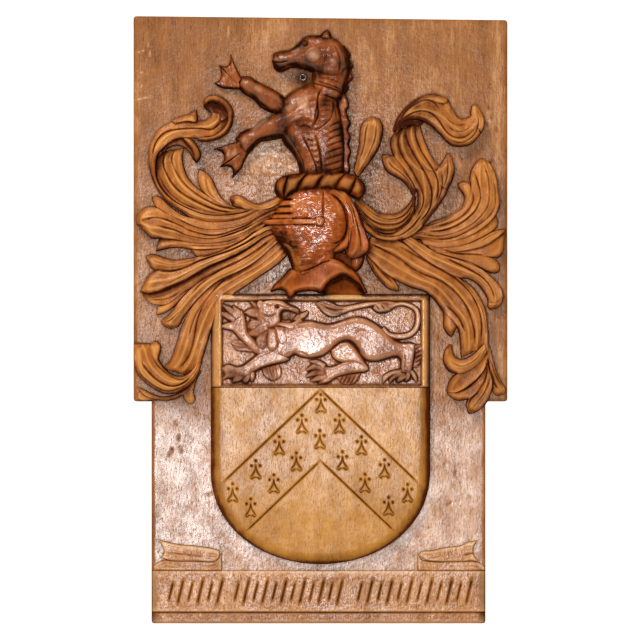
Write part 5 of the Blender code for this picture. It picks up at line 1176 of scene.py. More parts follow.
HELMET = {
    "wreath": part([(277.5, 189), (279, 182.5), (284, 178.5), (300, 175.5), (335, 174.5), (356, 179.5),
        (361, 184), (362.5, 189.5)], [(278, 191.5), (281, 195.5), (289, 192), (335, 189.5), (345, 191.5),
        (357, 197), (362, 193)], [24, 27, 28, 28, 28, 27, 24], roll=(8, 6)),
    **wreath_strands(),
    "helmet": part([(255, 223), (270, 213.5), (290, 191.5), (318, 185.5), (333, 189), (343, 198),
        (348, 209), (349, 222)], [(256.5, 224.5), (275, 240.5), (289, 258), (292, 267), (300, 271.5),
        (331, 257), (341, 247), (347.5, 235), (349.5, 224)], [16, 24, 31, 36, 38, 39, 39, 38, 36],
        roll=(26, 17)),
    "throat": part([(280, 243), (287.5, 254), (292, 266), (296.5, 276)], [(338, 240), (337, 250),
        (334, 258), (331, 266)], [35, 34.5, 33, 32, 31], roll=(13, 11), ends=(True, False)),
    "helmet_bar": part([(257, 222), (270, 220), (317, 220)], [(258, 224), (270, 225), (317, 224.5)],
        [16.5, 24, 33, 39.5, 41], roll=(2.2, 1.2)),
    "pivot": part([(315, 221.5), (316.5, 218), (320, 217.5), (323.5, 219), (324.5, 221.5)], [(315, 222.5),
        (317, 225.5), (320, 226.5), (323, 225), (324.5, 222)], [42, 43, 42], roll=(4, 2.5)),
    "drape": leaf([(334, 190), (346, 194), (358.5, 215), (361.5, 225), (366, 234), (368.5, 244),
        (367, 252.5), (360.5, 256.5), (351.5, 258.5)], [(329, 191.5), (338.5, 199), (345, 208), (348, 220),
        (347.5, 231), (345, 239), (344, 247), (346, 254), (348.5, 258)], [33, 38, 39, 38, 36, 33, 29],
        flutes=2, hollow=2.6, bulge=3.5, tips=(0, 3)),
    "drape_curl": leaf([(326.5, 239), (327.5, 246.5), (332, 252), (338, 253.5), (344.5, 250), (349.5, 242),
        (351, 230)], [(329.5, 240.5), (331.5, 244.5), (336, 246), (345, 238.5), (348, 229)],
        [28, 30, 33, 36, 37], bulge=2.5, tips=(3, 0)),
    "drape_tail": leaf([(350, 255), (352.5, 268.5), (356, 271)], [(365, 253.5), (360.5, 268), (357, 271)],
        [21, 20, 17], bulge=3, tips=(0, 3)),
    "gorget": part([(271, 290.5), (276, 284), (283, 277), (290, 269.5), (301, 271), (325, 260.5),
        (335, 259.5), (354, 271.5), (361, 281), (366.5, 292.5)], [(271.5, 291.5), (278, 289.5),
        (284.5, 291), (290, 297.5), (297, 292.5), (313, 290.5), (321.5, 292.5), (327, 285), (335, 278.5),
        (345, 276), (360, 286), (364.5, 293)], [19, 23, 27, 30, 31, 30, 28, 24, 20], roll=(6, 3.5)),
    "gorget_inside": part([(322, 291.5), (328, 284), (336, 278), (345, 275.5), (353, 278.5), (365, 292.5)],
        [(323, 294), (345, 294), (364, 294)], [6, 6, 6], lean=[8, 10, 8]),
    "neck_shade": part([(322, 252), (332, 254), (345, 254), (352, 258)], [(324, 266), (336, 262),
        (356, 274)], [15, 15, 14]),
}
HELMET_CUTS = [
    ([(279.5, 200), (286, 200), (292, 200)], 4, 5.5),
    ([(276, 207.5), (284, 207), (291.5, 207)], 4, 5.5),
    ([(271.5, 214), (282, 214), (292.5, 214)], 4, 6),
    ([(323.5, 191), (323, 204), (323, 217)], 2.4, 1.6),
    ([(261, 219.5), (285, 219), (314, 219)], 2.2, 1.6),
    ([(259, 225.5), (285, 225.5), (314, 225)], 2.2, 1.6),
    ([(319, 219), (319.5, 225)], 1.8, 1.2),
    ([(328, 193), (337.5, 200), (344, 210), (346.5, 221), (346, 232), (342, 239.5), (336, 243.5),
        (330, 243)], 2.8, 2.6),
    ([(349, 224), (348, 247), (347.5, 255)], 2.4, 1.4),
    ([(350, 196), (357, 210), (361, 224)], 2.4, 1.4),
    ([(352, 206), (360, 238), (361, 252)], 2.8, 1.6),
    ([(344, 199), (351, 212), (354, 228)], 2.4, 1.2),
    ([(300, 272.5), (312, 268.5), (324, 262.5), (334, 260)], 2.4, 2),
]


def helmet_finish(part_name, x, z, across, along):
    if part_name == "helmet":
        return 1.6 * cups(0.65 * x + 0.25 * z, 1.6 * z, 5.2, 51) + 0.4 * hills(x, z, 16, 12, 52)
    if part_name == "throat":
        return 1.3 * cups(0.9 * x, 1.2 * z, 5.0, 53)
    if part_name in ("gorget", "gorget_inside"):
        return 0.35 * cups(x, z, 12.0, 54) + 0.4 * hills(x, z, 16, 12, 52)
    return loosen(part_name, x, z, across, along)


helmet = carve("helmet", HELMET, HELMET_CUTS, helmet_finish, step_along=1.1, step_across=0.95)

# %% [markdown]
# The lion walks to the left in the sunk upper field. Body and legs are soft parts, mane, claws and tufts
# are small pointed ones laid over them.

# %% Lion
LION_EYE, LION_MOUTH, MOUTH_RADIUS, MOUTH_DEPTH = (277, 306.5), (286, 316), 7.0, 4.0


def lock(left, right, rise, hollow=0.8):
    """A lock of the mane."""
    return part(left, right, rise, flutes=1, hollow=hollow, roll=(4.5, 3.4))


def claw(left, right, start=15.5, tip=13):
    """A claw, or a toe with its claw; the long ones have a knuckle more."""
    rise = [start, start - 0.5, tip] if len(left) < 4 else [start, start - 0.5, tip + 1, tip]
    return part(left, right, rise, roll=(3, 2.8))


LION = {
    "chest": part([(250, 318), (257, 342), (256, 352), (262, 358), (272, 360)], [(290, 320), (296, 330),
        (297, 342), (294, 352), (286, 360), (276, 362)], [15, 15.5, 15.5], roll=(5, 3.5)),
    "body": part([(280, 330), (287, 325.5), (293, 324), (300, 322), (310, 321), (320, 323), (330, 324),
        (358, 317), (374, 323), (390, 336), (396, 341), (403, 343), (410, 342.5), (415, 345)], [(278, 356),
        (283, 360), (289, 357.5), (295, 354), (300, 356), (310, 358), (320, 356.5), (328, 352),
        (335, 345.5), (341, 341.5), (348, 340), (354, 343.5), (358, 349), (361, 355), (366, 359.5),
        (375, 361), (398, 357), (401, 362)], [17, 17.5, 17.5, 17, 17.2, 18, 18.2, 17.5, 16], roll=(9, 5),
        ends=(False, False)),
    "thigh": part([(331, 350), (331.5, 354), (334, 358.5), (339, 361.5), (354, 363)], [(340, 342.5),
        (348, 342), (354, 346.5), (368.5, 368)], [15, 16, 16.5, 16], roll=(5, 3.5)),
    "shin": part([(322, 364), (327, 366.5), (334, 366), (342, 362.5), (352, 359.5), (360, 360), (366, 364),
        (368.5, 368)], [(324, 381), (331, 380), (338, 376.5), (358, 372.5), (365, 371.5), (368.5, 369.5)],
        [15, 16, 16, 15.5], roll=(5, 3.5)),
    "shank": part([(400, 345), (401, 360), (400.5, 372)], [(415, 344), (414.5, 352), (411.5, 372)],
        [16, 16.5, 16, 15], roll=(4, 3), ends=(False, False)),
    "fringe_rear": part([(413.5, 345), (414.5, 356), (412, 368)], [(424, 344), (422.5, 356), (418, 367.5)],
        [13.5, 14, 13], roll=(2.5, 2)),
    "fringe_shin": part([(337, 378), (341, 383), (347, 385), (354, 383.5), (358.5, 380)], [(337, 376.5),
        (346, 374.5), (361.5, 372.5)], [13, 13.5, 13], roll=(2.5, 2)),
    "far_tuft": part([(262, 367), (264, 374.5), (268, 379), (272.5, 381)], [(279, 364), (281, 370),
        (280.5, 376), (274.5, 381)], [14, 14.5, 13], flutes=3, hollow=1.2, roll=(2.5, 2)),
    "elbow_tuft": part([(256, 352.5), (246, 351), (238, 350.5), (232, 346)], [(252, 344.5), (238, 340),
        (230.5, 341)], [13.5, 14.5, 13], flutes=2, hollow=1.2, roll=(2.5, 2)),
    "foreleg_up": part([(256, 354), (240, 339), (235, 333), (229, 328.5), (224, 329)], [(262, 346),
        (254, 339), (248, 331.5), (245, 316), (242, 309)], [15, 16, 16, 15.5, 15], roll=(5, 3.5),
        ends=(False, True)),
    "foreleg_low": part([(268, 350), (260, 353), (250, 360.5), (243, 365.5), (235, 366.5), (226, 365),
        (221, 368)], [(290, 359), (284, 362), (272, 365), (260, 369), (253, 372), (250, 377), (240, 379),
        (226, 378)], [17, 17, 17, 16, 15.5], roll=(6, 4), ends=(False, True)),
    "head": part([(256, 318), (258, 309), (262, 302.5), (268, 300.5), (283, 301.5), (288, 304.5),
        (299, 309.5)], [(262, 328), (270, 328), (277, 325), (280.5, 320), (280.5, 313.5), (284, 310),
        (296, 312.5), (299.5, 314.5)], [16, 18, 19, 19, 18, 16.5], roll=(4, 3)),
    "jaw": part([(272, 322), (277, 321.5), (291, 323), (301, 317)], [(273, 327), (278, 326), (284, 327.5),
        (291, 330), (297, 327.5), (303, 321)], [17, 17.5, 17, 15.5], roll=(3, 2)),
    "tongue": part([(293, 320), (297, 315.5), (308, 311)], [(297, 322), (301, 319.5), (305, 317.5),
        (308.5, 313)], [15, 16, 15], roll=(3, 2)),
    "ear": part([(259, 310), (257, 304), (259, 300)], [(264, 308), (264, 302), (260.5, 300)], [18, 18, 16],
        roll=(2.5, 2)),
    "lock1": lock([(270, 319), (261, 321.5), (247.5, 333.5)], [(269, 330), (257, 337), (249, 336)],
        [18.5, 18, 17, 15]),
    "lock2": lock([(259, 334), (256, 340), (257.5, 346.5), (263.5, 353)], [(269, 329), (267.5, 338),
        (267.5, 346), (265, 353)], [18, 18, 17, 15.5]),
    "lock3": lock([(268.5, 328), (267, 339), (267.5, 348), (270.5, 354.5)], [(276, 329), (278, 346),
        (272, 354.5)], [18.5, 18.5, 18, 16]),
    "lock4": lock([(274.5, 326), (276, 336), (279, 344.5), (283.5, 351)], [(284, 327), (287.5, 336),
        (288.5, 344), (285, 351)], [18.5, 18.5, 18, 16]),
    "lock5": lock([(283, 327), (286.5, 334), (289, 342), (290, 348)], [(291, 329), (294.5, 336),
        (295, 343), (291.5, 348)], [18, 18, 17.5, 16]),
    "spike1": lock([(262, 317), (252, 305), (250, 300.5)], [(265, 303), (260, 303.5), (255, 302.5),
        (250.5, 300)], [17.5, 17, 16, 15], 1),
    "spike2": lock([(263, 319), (255, 318), (249, 316), (244, 312.5)], [(264, 309), (256, 308),
        (250, 308.5), (244.5, 312)], [17.5, 17, 16, 15]),
    "spike3": lock([(266, 319.5), (251, 320.5), (247.5, 325)], [(267, 327), (252, 330), (247.5, 327.5)],
        [17.5, 17, 16.5, 15], 1),
    "claw_a1": claw([(237, 321), (228, 312.5), (220, 304)], [(242, 315), (231, 307), (221.5, 303)], 16),
    "claw_a2": claw([(236, 317), (233, 309.5), (232.5, 305.5)], [(242, 319), (241, 311), (233.5, 305)], 16,
        13.5),
    "claw_a3": claw([(235, 323), (226, 318.5), (218, 313)], [(237, 317), (227, 312), (219, 311)], 16),
    "claw_a4": claw([(235, 331), (226, 329), (218.5, 327.5)], [(236, 322), (228, 322.5), (219, 326)]),
    "claw_b1": claw([(236, 366.5), (227, 364.5), (220.5, 370)], [(236, 372), (227, 371), (221, 371.5)],
        16),
    "claw_b2": claw([(238, 370), (229, 370), (222, 379)], [(240, 376), (231, 376.5), (223, 380.5)], 16),
    "claw_b3": claw([(242, 372), (234, 376), (231, 382.5)], [(247, 376), (240, 381), (233, 383.5)], 16),
    "claw_b4": claw([(247, 373), (242, 379), (243.5, 384)], [(252, 374), (249, 381), (245.5, 384.5)], 16),
    "claw_b5": claw([(250, 371), (249.5, 377), (251, 382.5)], [(255, 371), (255, 377), (252.5, 383)]),
    "claw_c1": claw([(326, 364), (317, 359.5), (308, 360.5)], [(325, 370), (316, 365.5), (309, 362.5)]),
    "claw_c2": claw([(325, 366), (314, 363.5), (305, 369.5)], [(325, 373), (315, 370.5), (306, 371.5)]),
    "claw_c3": claw([(325, 370), (314, 369.5), (304.5, 376)], [(326, 376), (316, 376), (306, 378)]),
    "claw_c4": claw([(327, 373), (317, 375), (308.5, 381.5)], [(328, 379), (320, 381), (310.5, 382.5)]),
    "claw_c5": claw([(329, 376), (321, 379.5), (317, 384)], [(332, 380), (326, 383), (319, 384.5)]),
    "claw_d1": claw([(402, 369), (391, 371), (382.5, 376.5), (382, 383.5)], [(401, 375), (393, 375.5),
        (388, 378.5), (383, 384)]),
    "claw_d2": claw([(402, 371), (394, 373.5), (389, 378.5), (388.5, 384)], [(404, 377), (398, 377.5),
        (393.5, 380), (389.5, 384)]),
    "claw_d3": claw([(404, 371.5), (398, 376), (395.5, 383)], [(408, 377), (403, 380), (397, 383.5)]),
    "claw_d4": claw([(406, 370), (404, 377), (405, 382.5)], [(411, 372), (410, 378), (406.5, 382.5)]),
    "claw_d5": claw([(408, 370), (411, 375), (416.5, 384)], [(413, 370), (416.5, 376), (417.5, 383.5)]),
    "tail": part([(384, 327), (391, 333), (408, 332.5), (413.5, 327), (415.5, 319), (414.5, 311.5),
        (409, 307.5), (402, 305.5), (396, 306.5), (390, 309.5), (382, 311)], [(381, 329), (389, 337),
        (400, 339), (410, 337), (417.5, 330.5), (420.5, 320), (418.5, 310), (412, 304.5), (403, 302),
        (394, 303), (380, 304)], [16, 15.5, 15, 15, 15, 15, 15], roll=(2.6, 2.2), ends=(True, False)),
    "tail_knot": part([(372.5, 308), (375.5, 304), (381, 303), (387, 304)], [(373, 309), (377.5, 312),
        (384, 312), (391, 310)], [15, 17, 15.5], roll=(2.5, 2)),
    "tail_end": part([(399, 303), (386, 301), (374, 302), (366, 302.5), (343, 307)], [(398, 306),
        (386, 304.5), (374, 305.5), (366, 307), (350, 311), (342, 314)], [14.5, 15.5, 15.5, 14.5, 15],
        roll=(2.4, 2), ends=(False, False)),
    "tail_tuft": part([(346, 306.5), (338, 306), (331, 302.5), (323, 300.5), (315.5, 303.5)],
        [(344, 312.5), (338, 315.5), (331.5, 316.5), (325, 313.5), (316.5, 305)], [15, 16, 16, 14],
        flutes=3, hollow=1.3, roll=(2.5, 2)),
}
LION_CUTS = [
    ([(277, 306.5), (277.4, 306.5)], 7.5, 2.6),
    ([(292, 309.5), (297, 311.5), (300, 316), (295, 319)], 2, 1),
    ([(279, 304.5), (284, 307), (291, 308.5)], 2, 1),
    ([(266, 303), (271, 306), (274, 303)], 2, 0.8),
    ([(262, 314), (270, 316), (277, 313)], 2, 0.8),
    ([(299, 352), (304, 353), (309, 357)], 2, 1),
    ([(355, 332), (360, 329), (366, 330.5)], 2, 0.8),
    ([(284, 361), (272, 364.5), (258, 368.5)], 2.4, 1.4),
    ([(404, 352), (405, 361), (404, 369)], 1.8, 0.7),
    ([(323, 307), (335, 309.5), (346, 309)], 2, 1),
    ([(376, 306), (379, 309.5)], 2, 1),
    ([(381, 304.5), (385, 310)], 2, 1),
]


def lion_rows():
    """Fringes behind the hind leg and under the shin."""
    rear = [([(415, row), (419, row - 2), (423.5, row - 4)], 2.0, 1.4)
            for row in (349, 353.5, 358, 362.5, 366.5)]
    shin = [([(x, 375.5), (x - 2, 380), (x - 4.5, 384)], 2.0, 1.4) for x in (343, 347, 351, 355, 359)]
    return rear + shin


def lion_finish(part_name, x, z, across, along):
    return 0.35 * cups(x, z, 5.0, 61) + bowl(x, z, LION_MOUTH, MOUTH_RADIUS, MOUTH_DEPTH)


lion_eye = button(*LION_EYE, 1.8, 19.9, 1.6)
lion = carve("lion", LION, LION_CUTS + lion_rows(), lion_finish, foot=8.0, draft=0.8, step_along=1.2,
             step_across=0.9, extra=(lion_eye,))

# %% [markdown]
# A small screw eye sits in the crest's collar. A ring and a rod are added at their size, and a union makes
# them one closed solid. It replaces the coarser ring of the frame at the same place.

# %% Screw eye
RING_PLACE = (303.0, 78.2)
RING_HEIGHT = 18.0
RING_RADIUS, RING_WIRE = 3.6, 1.15
SHANK_RADIUS, SHANK_END, SHANK_TILT = 1.2, 16.5, -0.35


def ring_point(along):
    """A place on the screw eye's axis, this far from the ring's middle."""
    x = mm_x(RING_PLACE[0]) + along * math.cos(SHANK_TILT)
    z = mm_z(RING_PLACE[1]) + along * math.sin(SHANK_TILT)
    return in_frame(x, z, RING_HEIGHT).tolist()


def build_screw_eye():
    bpy.ops.mesh.primitive_torus_add(major_segments=56, minor_segments=20, major_radius=RING_RADIUS / 1000,
                                     minor_radius=RING_WIRE / 1000, location=ring_point(0),
                                     rotation=(math.pi / 2, 0, 0))
    ring = bpy.context.object
    bpy.ops.object.transform_apply(location=True, rotation=True, scale=True)
    length = SHANK_END - RING_RADIUS
    bpy.ops.mesh.primitive_cylinder_add(vertices=28, radius=SHANK_RADIUS / 1000, depth=length / 1000,
                                        location=ring_point((RING_RADIUS + SHANK_END) / 2),
                                        rotation=(0, math.pi / 2 - SHANK_TILT, 0))
    shank = bpy.context.object
    bpy.ops.object.transform_apply(location=True, rotation=True, scale=True)
    union = ring.modifiers.new("union", "BOOLEAN")
    union.object = shank
    bpy.ops.object.select_all(action="DESELECT")
    bpy.context.view_layer.objects.active = ring
    ring.select_set(True)
    bpy.ops.object.modifier_apply(modifier=union.name)
    bpy.data.objects.remove(shank)
    ring.name = "screw_eye"
    bpy.ops.object.shade_smooth_by_angle(angle=math.radians(50))
    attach(ring, "root")
    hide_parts("collar_ring")
    return ring


screw_eye = build_screw_eye()
print("screw eye ring", 2 * (RING_RADIUS + RING_WIRE), "mm across")

# %% [markdown]
# Dark stain settles where a cloth can't wipe it off, and shade is painted into the colour with it: the wood
# is darkened in cuts, on steep sides, on undersides, along the foot of every part and between close leaves.
# Ridges are paled, partly rubbed wear and partly painted highlight. The map, once it is softened, says how
# high the carving stands around a point: a point below that lies in a hollow, and one above it is on a
# ridge. The values are kept on the points as attributes, because a shader can't see what stands nearby.

# %% Stain, painted shade and painted highlights
EDGE_BLUR, FLUTE_BLUR, WIDE_BLUR = 1.1, 3.0, 7.0
RIDGE_BLUR, BRINK_BLUR, UNDER_BLUR = 4.5, 3.0, 2.0
BRINK_SLOPE, MAP_MARGIN = 1.0, 40


def softened(field, size):
    """The map averaged over a round spot, by way of its spectrum."""
    padded = np.pad(field, MAP_MARGIN, mode="edge")
    fz = np.fft.fftfreq(padded.shape[0])[:, None]
    fx = np.fft.fftfreq(padded.shape[1])[None, :]
    smooth = np.fft.ifft2(np.fft.fft2(padded) * np.exp(-2 * (math.pi * size)**2 * (fx**2 + fz**2))).real
    return smooth[MAP_MARGIN:-MAP_MARGIN, MAP_MARGIN:-MAP_MARGIN]


edge_map = softened(height_map, EDGE_BLUR)
flute_map = softened(height_map, FLUTE_BLUR)
wide_map = softened(height_map, WIDE_BLUR)
steep_map = np.hypot(*np.gradient(edge_map))
brink_map = softened(np.clip(steep_map - BRINK_SLOPE, 0, 1.5), BRINK_BLUR)
ridge_map = softened(height_map, RIDGE_BLUR)
# Slopes that face downwards, for painted shade on undersides.
under_map = softened(np.gradient(edge_map)[0], UNDER_BLUR)


def write_values(thing, name, values):
    layer = thing.data.attributes.new(name=name, type="FLOAT", domain="POINT")
    layer.data.foreach_set("value", values.astype(np.float32))


# Painted shade on the mantling, where leaves turn into shade, with a small dark hollow by the stub.
SHADE_SPOTS = (
    (412, 103, 26, 0.9), (405, 150, 24, 0.41), (385, 228, 30, 0.54), (430, 215, 20, 0.54),
    (222, 112, 18, 0.68), (396, 130, 14, 0.54), (450, 175, 14, 0.41), (415, 190, 18, 0.54),
    (196, 118, 12, 0.41), (262, 218, 16, 0.41), (205, 262, 16, 0.27), (395, 270, 22, 0.27),
    (440, 300, 20, 0.34), (185, 330, 20, 0.27), (233, 202, 4, 0.8), (155, 175, 20, 0.27),
    (190, 155, 12, 0.34), (150, 242, 22, 0.2), (160, 262, 20, 0.34), (165, 385, 28, 0.2),
    (470, 380, 26, 0.27), (370, 150, 26, 0.27), (250, 228, 20, 0.2), (465, 290, 26, 0.2),
    (500, 245, 14, 0.34),
)
# Painted shade under the crest's jaw, limbs and belly and in the eye socket; below zero, painted highlights.
CREST_SHADE_SPOTS = (
    (281, 68, 7, 0.68), (305, 71, 9, 0.8), (317, 75, 7, 0.68), (342, 64, 9, 0.68), (301, 46, 6, 0.68),
    (305, 45, 4, 0.68), (284, 103, 8, 0.68), (252, 92, 7, 0.51), (268, 104, 7, 0.51), (280, 132, 10, 0.68),
    (304, 128, 8, 0.68), (292, 143, 8, 0.68), (287, 122, 7, 0.51), (300, 168, 8, 0.51), (341, 130, 8, 0.51),
    (325, 106, 9, 0.42), (332, 160, 10, 0.42), (336, 88, 7, 0.42), (246, 133, 5, 0.51), (322, 172, 8, 0.51),
    (300, 106, 10, -0.34), (328, 128, 9, -0.26), (294, 160, 5, -0.34), (230, 70, 9, -0.26),
    (232, 156, 9, -0.26),
)
# Painted shadow on the ground around the screw eye and by the plume's foot, and one paler spot.
GROUND_SHADE_SPOTS = ((305, 81, 8, 0.7), (300, 76, 14, 0.25), (372, 190, 9, 0.3), (262, 160, 12, -0.3))
# Painted shade on the lion among its claws, between its legs, by the mane and in the eye.
LION_SHADE_SPOTS = (
    (228, 311, 10, 0.56), (230, 373, 11, 0.64), (243, 380, 10, 0.64), (315, 372, 11, 0.8),
    (400, 378, 15, 0.8), (263, 341, 9, 0.4), (254, 311, 9, 0.56), (268, 373, 8, 0.56), (240, 346, 8, 0.56),
    (350, 379, 9, 0.48), (419, 355, 8, 0.56), (335, 308, 16, 0.48), (382, 308, 7, 0.56),
    (277, 306.5, 2.4, 0.95), (272, 316, 9, 0.24), (258, 330, 9, 0.48), (300, 315, 8, 0.48),
    (385, 352, 12, 0.4), (350, 372, 8, 0.4), (289, 346, 7, 0.32),
)


def spot(px, py, sx, sy, size):
    """A soft round spot, 1 in its middle."""
    return np.exp(-((px - sx)**2 + (py - sy)**2) / size**2)


def spots(x, z, places):
    """Places made darker, or paler where the amount is below zero: sheet place, size and amount."""
    px, py = on_sheet(x, z)
    total = 0 * x
    for sx, sy, size, amount in places:
        total = total + amount * spot(px, py, sx, sy, size)
    return np.minimum(total, 0.9)


def shade_spots(x, z):
    return spots(x, z, SHADE_SPOTS) - 0.05


def crest_shade(x, z):
    return headgear_shade(x, z) + spots(x, z, CREST_SHADE_SPOTS)


def lion_shade(x, z):
    return spots(x, z, LION_SHADE_SPOTS)


def chevron_tint_and_rim_shade(x, z):
    """The chevron is a little darker than the field around it, and the rim has painted shade as well."""
    px, py = on_sheet(x, z)
    fall = np.abs(px - CHEVRON_MIDDLE) * CHEVRON_FALL / CHEVRON_REACH
    inside = (py > CHEVRON_TOP + fall) & (py < CHEVRON_CROTCH + fall)
    return shield_rim(x, z) + 0.12 * inside


def headgear_shade(x, z):
    """Darkest on the wreath and the crest's head; painted shade on the visor's lower left and at the jaws."""
    px, py = on_sheet(x, z)
    wreath = ramp(py, 196, -4) * ramp(py, 168, 4)
    head = spot(px, py, 322, 58, 26)
    visor = spot(px, py, 284, 250, 24)
    jaw = spot(px, py, 290, 243, 11) + spot(px, py, 343, 252, 9)
    neck_plate = (py > 262) * (py < 300)
    return 0.6 * wreath + 0.32 * head + 0.5 * visor + 0.4 * jaw + 0.16 * neck_plate


def helmet_gloss(x, z):
    """The neck plate and the wreath are duller than the helmet, which shines most in its middle."""
    middle = 1 + 0.8 * np.exp(-((x - mm_x(314)) / 16)**2 - ((z - mm_z(222)) / 30)**2)
    return np.clip((z - mm_z(268)) / 8, 0.15, 1) * np.clip((mm_z(187) - z) / 8, 0.3, 1) * middle


def ground_stain_and_shadow(x, z):
    """Darker at the top left and paler down the right side, with spots of painted shadow."""
    left, top = ramp(x, -60, -120), ramp(z, 560, 120)
    right = ramp(x, 110, 80) * ramp(z, 640, -80)
    return 0.1 * left * top + 0.07 * left - 0.1 * right + spots(x, z, GROUND_SHADE_SPOTS)


def ground_gloss(x, z):
    """The ground's varnish is thickest low down and around the crest, and thin at the top corners."""
    low = ramp(z, 300, -60)
    crest_side = np.exp(-((x + 40)**2 + (z - 530)**2) / 150**2)
    return np.clip(0.25 + low + 0.75 * crest_side, 0, 1)


def chief_shade(x, z):
    """Painted shade in the lion's mouth hollow; the frame above it is darker too, except at the left."""
    px, py = on_sheet(x, z)
    top = ramp(py, 301.5, -2) * ramp(px, 225, 30)
    return 0.5 * spot(px, py, 288, 317, 5) + 0.35 * top


def antique(thing, cuts=(), scuffs_and_highlights=(), crease=0.5, steep=0.35, flute=0.25, wide=0.5, easy=1.0, cut_stain_and_shade=0.5,
            under=0.0, ridge_paling=1.0, extra=None, tooled=None, gloss=None):
    """Writes how dark and how pale each point of a piece is; easy scales the slope that counts as steep."""
    points = read_points(thing)
    x, z = 1000 * points[:, 0], 1000 * points[:, 2] + HANG_HEIGHT
    h = -1000 * points[:, 1] - BOARD_THICKNESS
    # Painted shade with the stain: part feet, steep sides, hollows, near tall parts, cuts and undersides.
    slope = ramp(read_map(steep_map, x, z) / easy, 0.9, 2.2)
    corner = ramp(read_map(edge_map, x, z) - h, 0.2, 1.5)
    hollow = ramp(read_map(flute_map, x, z) - h, 0.1, 2.0)
    deep = ramp(read_map(wide_map, x, z) - h, 1.0, 9.0)
    px, py = on_sheet(x, z)
    line = ramp(cut_depth(px, py, cuts), 0, 1.4)
    below = ramp(read_map(under_map, x, z), 0, 1.2)
    stain_and_shade = crease * corner + steep * slope + flute * hollow + wide * deep + cut_stain_and_shade * line + under * below
    if extra is not None:
        stain_and_shade = stain_and_shade + extra(x, z)
    # Ridges are paled: rubbed wear together with painted highlights.
    near = 1 - ramp(read_map(brink_map, x, z), 0, 0.35)
    rub_and_highlight = ridge_paling * ramp(h - read_map(ridge_map, x, z), 0.1, 1.6) * near * (1 - line)
    rub_and_highlight = np.maximum(rub_and_highlight, cut_depth(px, py, scuffs_and_highlights))
    write_values(thing, "tooled", 1 + 0 * x if tooled is None else tooled(x, z))
    write_values(thing, "gloss", 1 + 0 * x if gloss is None else gloss(x, z))
    write_values(thing, "stain_and_shade", np.clip(stain_and_shade, -0.5, 1))
    write_values(thing, "rub_and_highlight", rub_and_highlight)
    print(thing.name, "mean stain", round(float(np.clip(stain_and_shade, 0, 1).mean()), 3))


def shield_rim(x, z):
    """The shield's rolled edge is painted darker than its face, as shade where it rolls away."""
    px, py = on_sheet(x, z)
    side = shield_half(py) - np.abs(px - SHIELD_MIDDLE)
    low = np.minimum(side, SHIELD_TIP - py)
    return 0.75 * np.clip(1 - low / 16, 0, 1)**1.2 + 0.6 * np.clip(1 - low / 5, 0, 1)


def lion_gloss(x, z):
    """The varnish is thickest on the smooth part of the lion's back."""
    px, py = on_sheet(x, z)
    return 1 + 1.3 * np.exp(-((px - 322) / 26)**2 - ((py - 348) / 11)**2)


def field_gloss(x, z):
    """The upper part of the shield's face has the thickest varnish."""
    return np.clip(0.3 + (z - mm_z(520)) / 110, 0.3, 1.1)


def stippled_ground(x, z):
    """The ground is stippled near the crest and between the leaves, and almost plain elsewhere."""
    near = np.clip(1.5 - np.hypot(x * 1.1, (z - 450) * 0.9) / 190, 0, 1)
    return 0.22 + 0.78 * near * (0.4 + 0.6 * hills(x, z, 25, 25, 14))


def band_ends(x, z):
    """The ends of the motto band are dark too."""
    edge = np.minimum(x - mm_x(LOWER_LEFT), mm_x(LOWER_RIGHT) - x)
    return 0.9 * np.clip(1 - edge / 13, 0, 1) + 0.2 * (z < mm_z(MOTTO_BOTTOM))


# Painted highlights on the crest's cheek, muzzle, arms, webs and the back of its head.
CREST_HIGHLIGHTS = [
    ([(313, 56.5), (313.4, 56.5)], 20, 0.9), ([(300, 50), (292, 54)], 7, 0.5),
    ([(276, 60), (277, 60)], 7, 0.5),
    ([(262, 92), (254, 87)], 12, 0.6), ([(268, 118), (252, 131)], 10, 0.5),
    ([(296, 104), (286, 112)], 14, 0.5),
    ([(246, 138), (243, 143)], 9, 0.7), ([(242, 82), (248, 84)], 8, 0.6), ([(330, 60), (336, 66)], 12, 0.4),
    ([(231, 152), (240, 158)], 8, 0.5), ([(228, 72), (226, 80)], 8, 0.5),
]
CHIEF_PALE_BORDER = [([(216.5, 298), (216.5, 340), (216.5, 386)], 14, 0.5)]
# A painted highlight along the motto band's rounded upper edge.
BAND_EDGE_HIGHLIGHT = [([(157, 572), (320, 572), (484, 572)], 2.4, 0.5)]
antique(board, BOARD_MARKS, BOARD_SCUFFS, crease=0.25, steep=0.1, flute=0.0, wide=0.0, cut_stain_and_shade=0.9,
        extra=ground_stain_and_shadow, tooled=stippled_ground, gloss=ground_gloss)
antique(left_mantling, LEFT_CUTS, flute=0.45, cut_stain_and_shade=0.4, under=0.4, extra=shade_spots)
antique(right_mantling, RIGHT_CUTS, flute=0.4, cut_stain_and_shade=0.4, under=0.4, ridge_paling=0.7, extra=shade_spots)
antique(crest, CREST_CUTS + crest_rows(), CREST_HIGHLIGHTS, steep=0.6, wide=0.6, easy=0.45, cut_stain_and_shade=0.4, under=0.7,
        ridge_paling=0.25, extra=crest_shade)
antique(helmet, HELMET_CUTS, steep=0.5, wide=0.6, cut_stain_and_shade=0.5, under=0.4, ridge_paling=0.5, extra=headgear_shade,
        gloss=helmet_gloss)
antique(lion, LION_CUTS + lion_rows(), crease=0.4, steep=0.6, flute=0.5, easy=0.4, under=0.12, ridge_paling=0.6,
        extra=lion_shade, gloss=lion_gloss)
antique(motto_folds, FOLD_CUTS, steep=0.8, easy=0.35)
antique(shield_chief, (), CHIEF_PALE_BORDER, steep=0.6, easy=0.4, extra=chief_shade)
antique(shield_field, field_cuts, ridge_paling=0.0, cut_stain_and_shade=0.7, extra=chevron_tint_and_rim_shade, gloss=field_gloss)
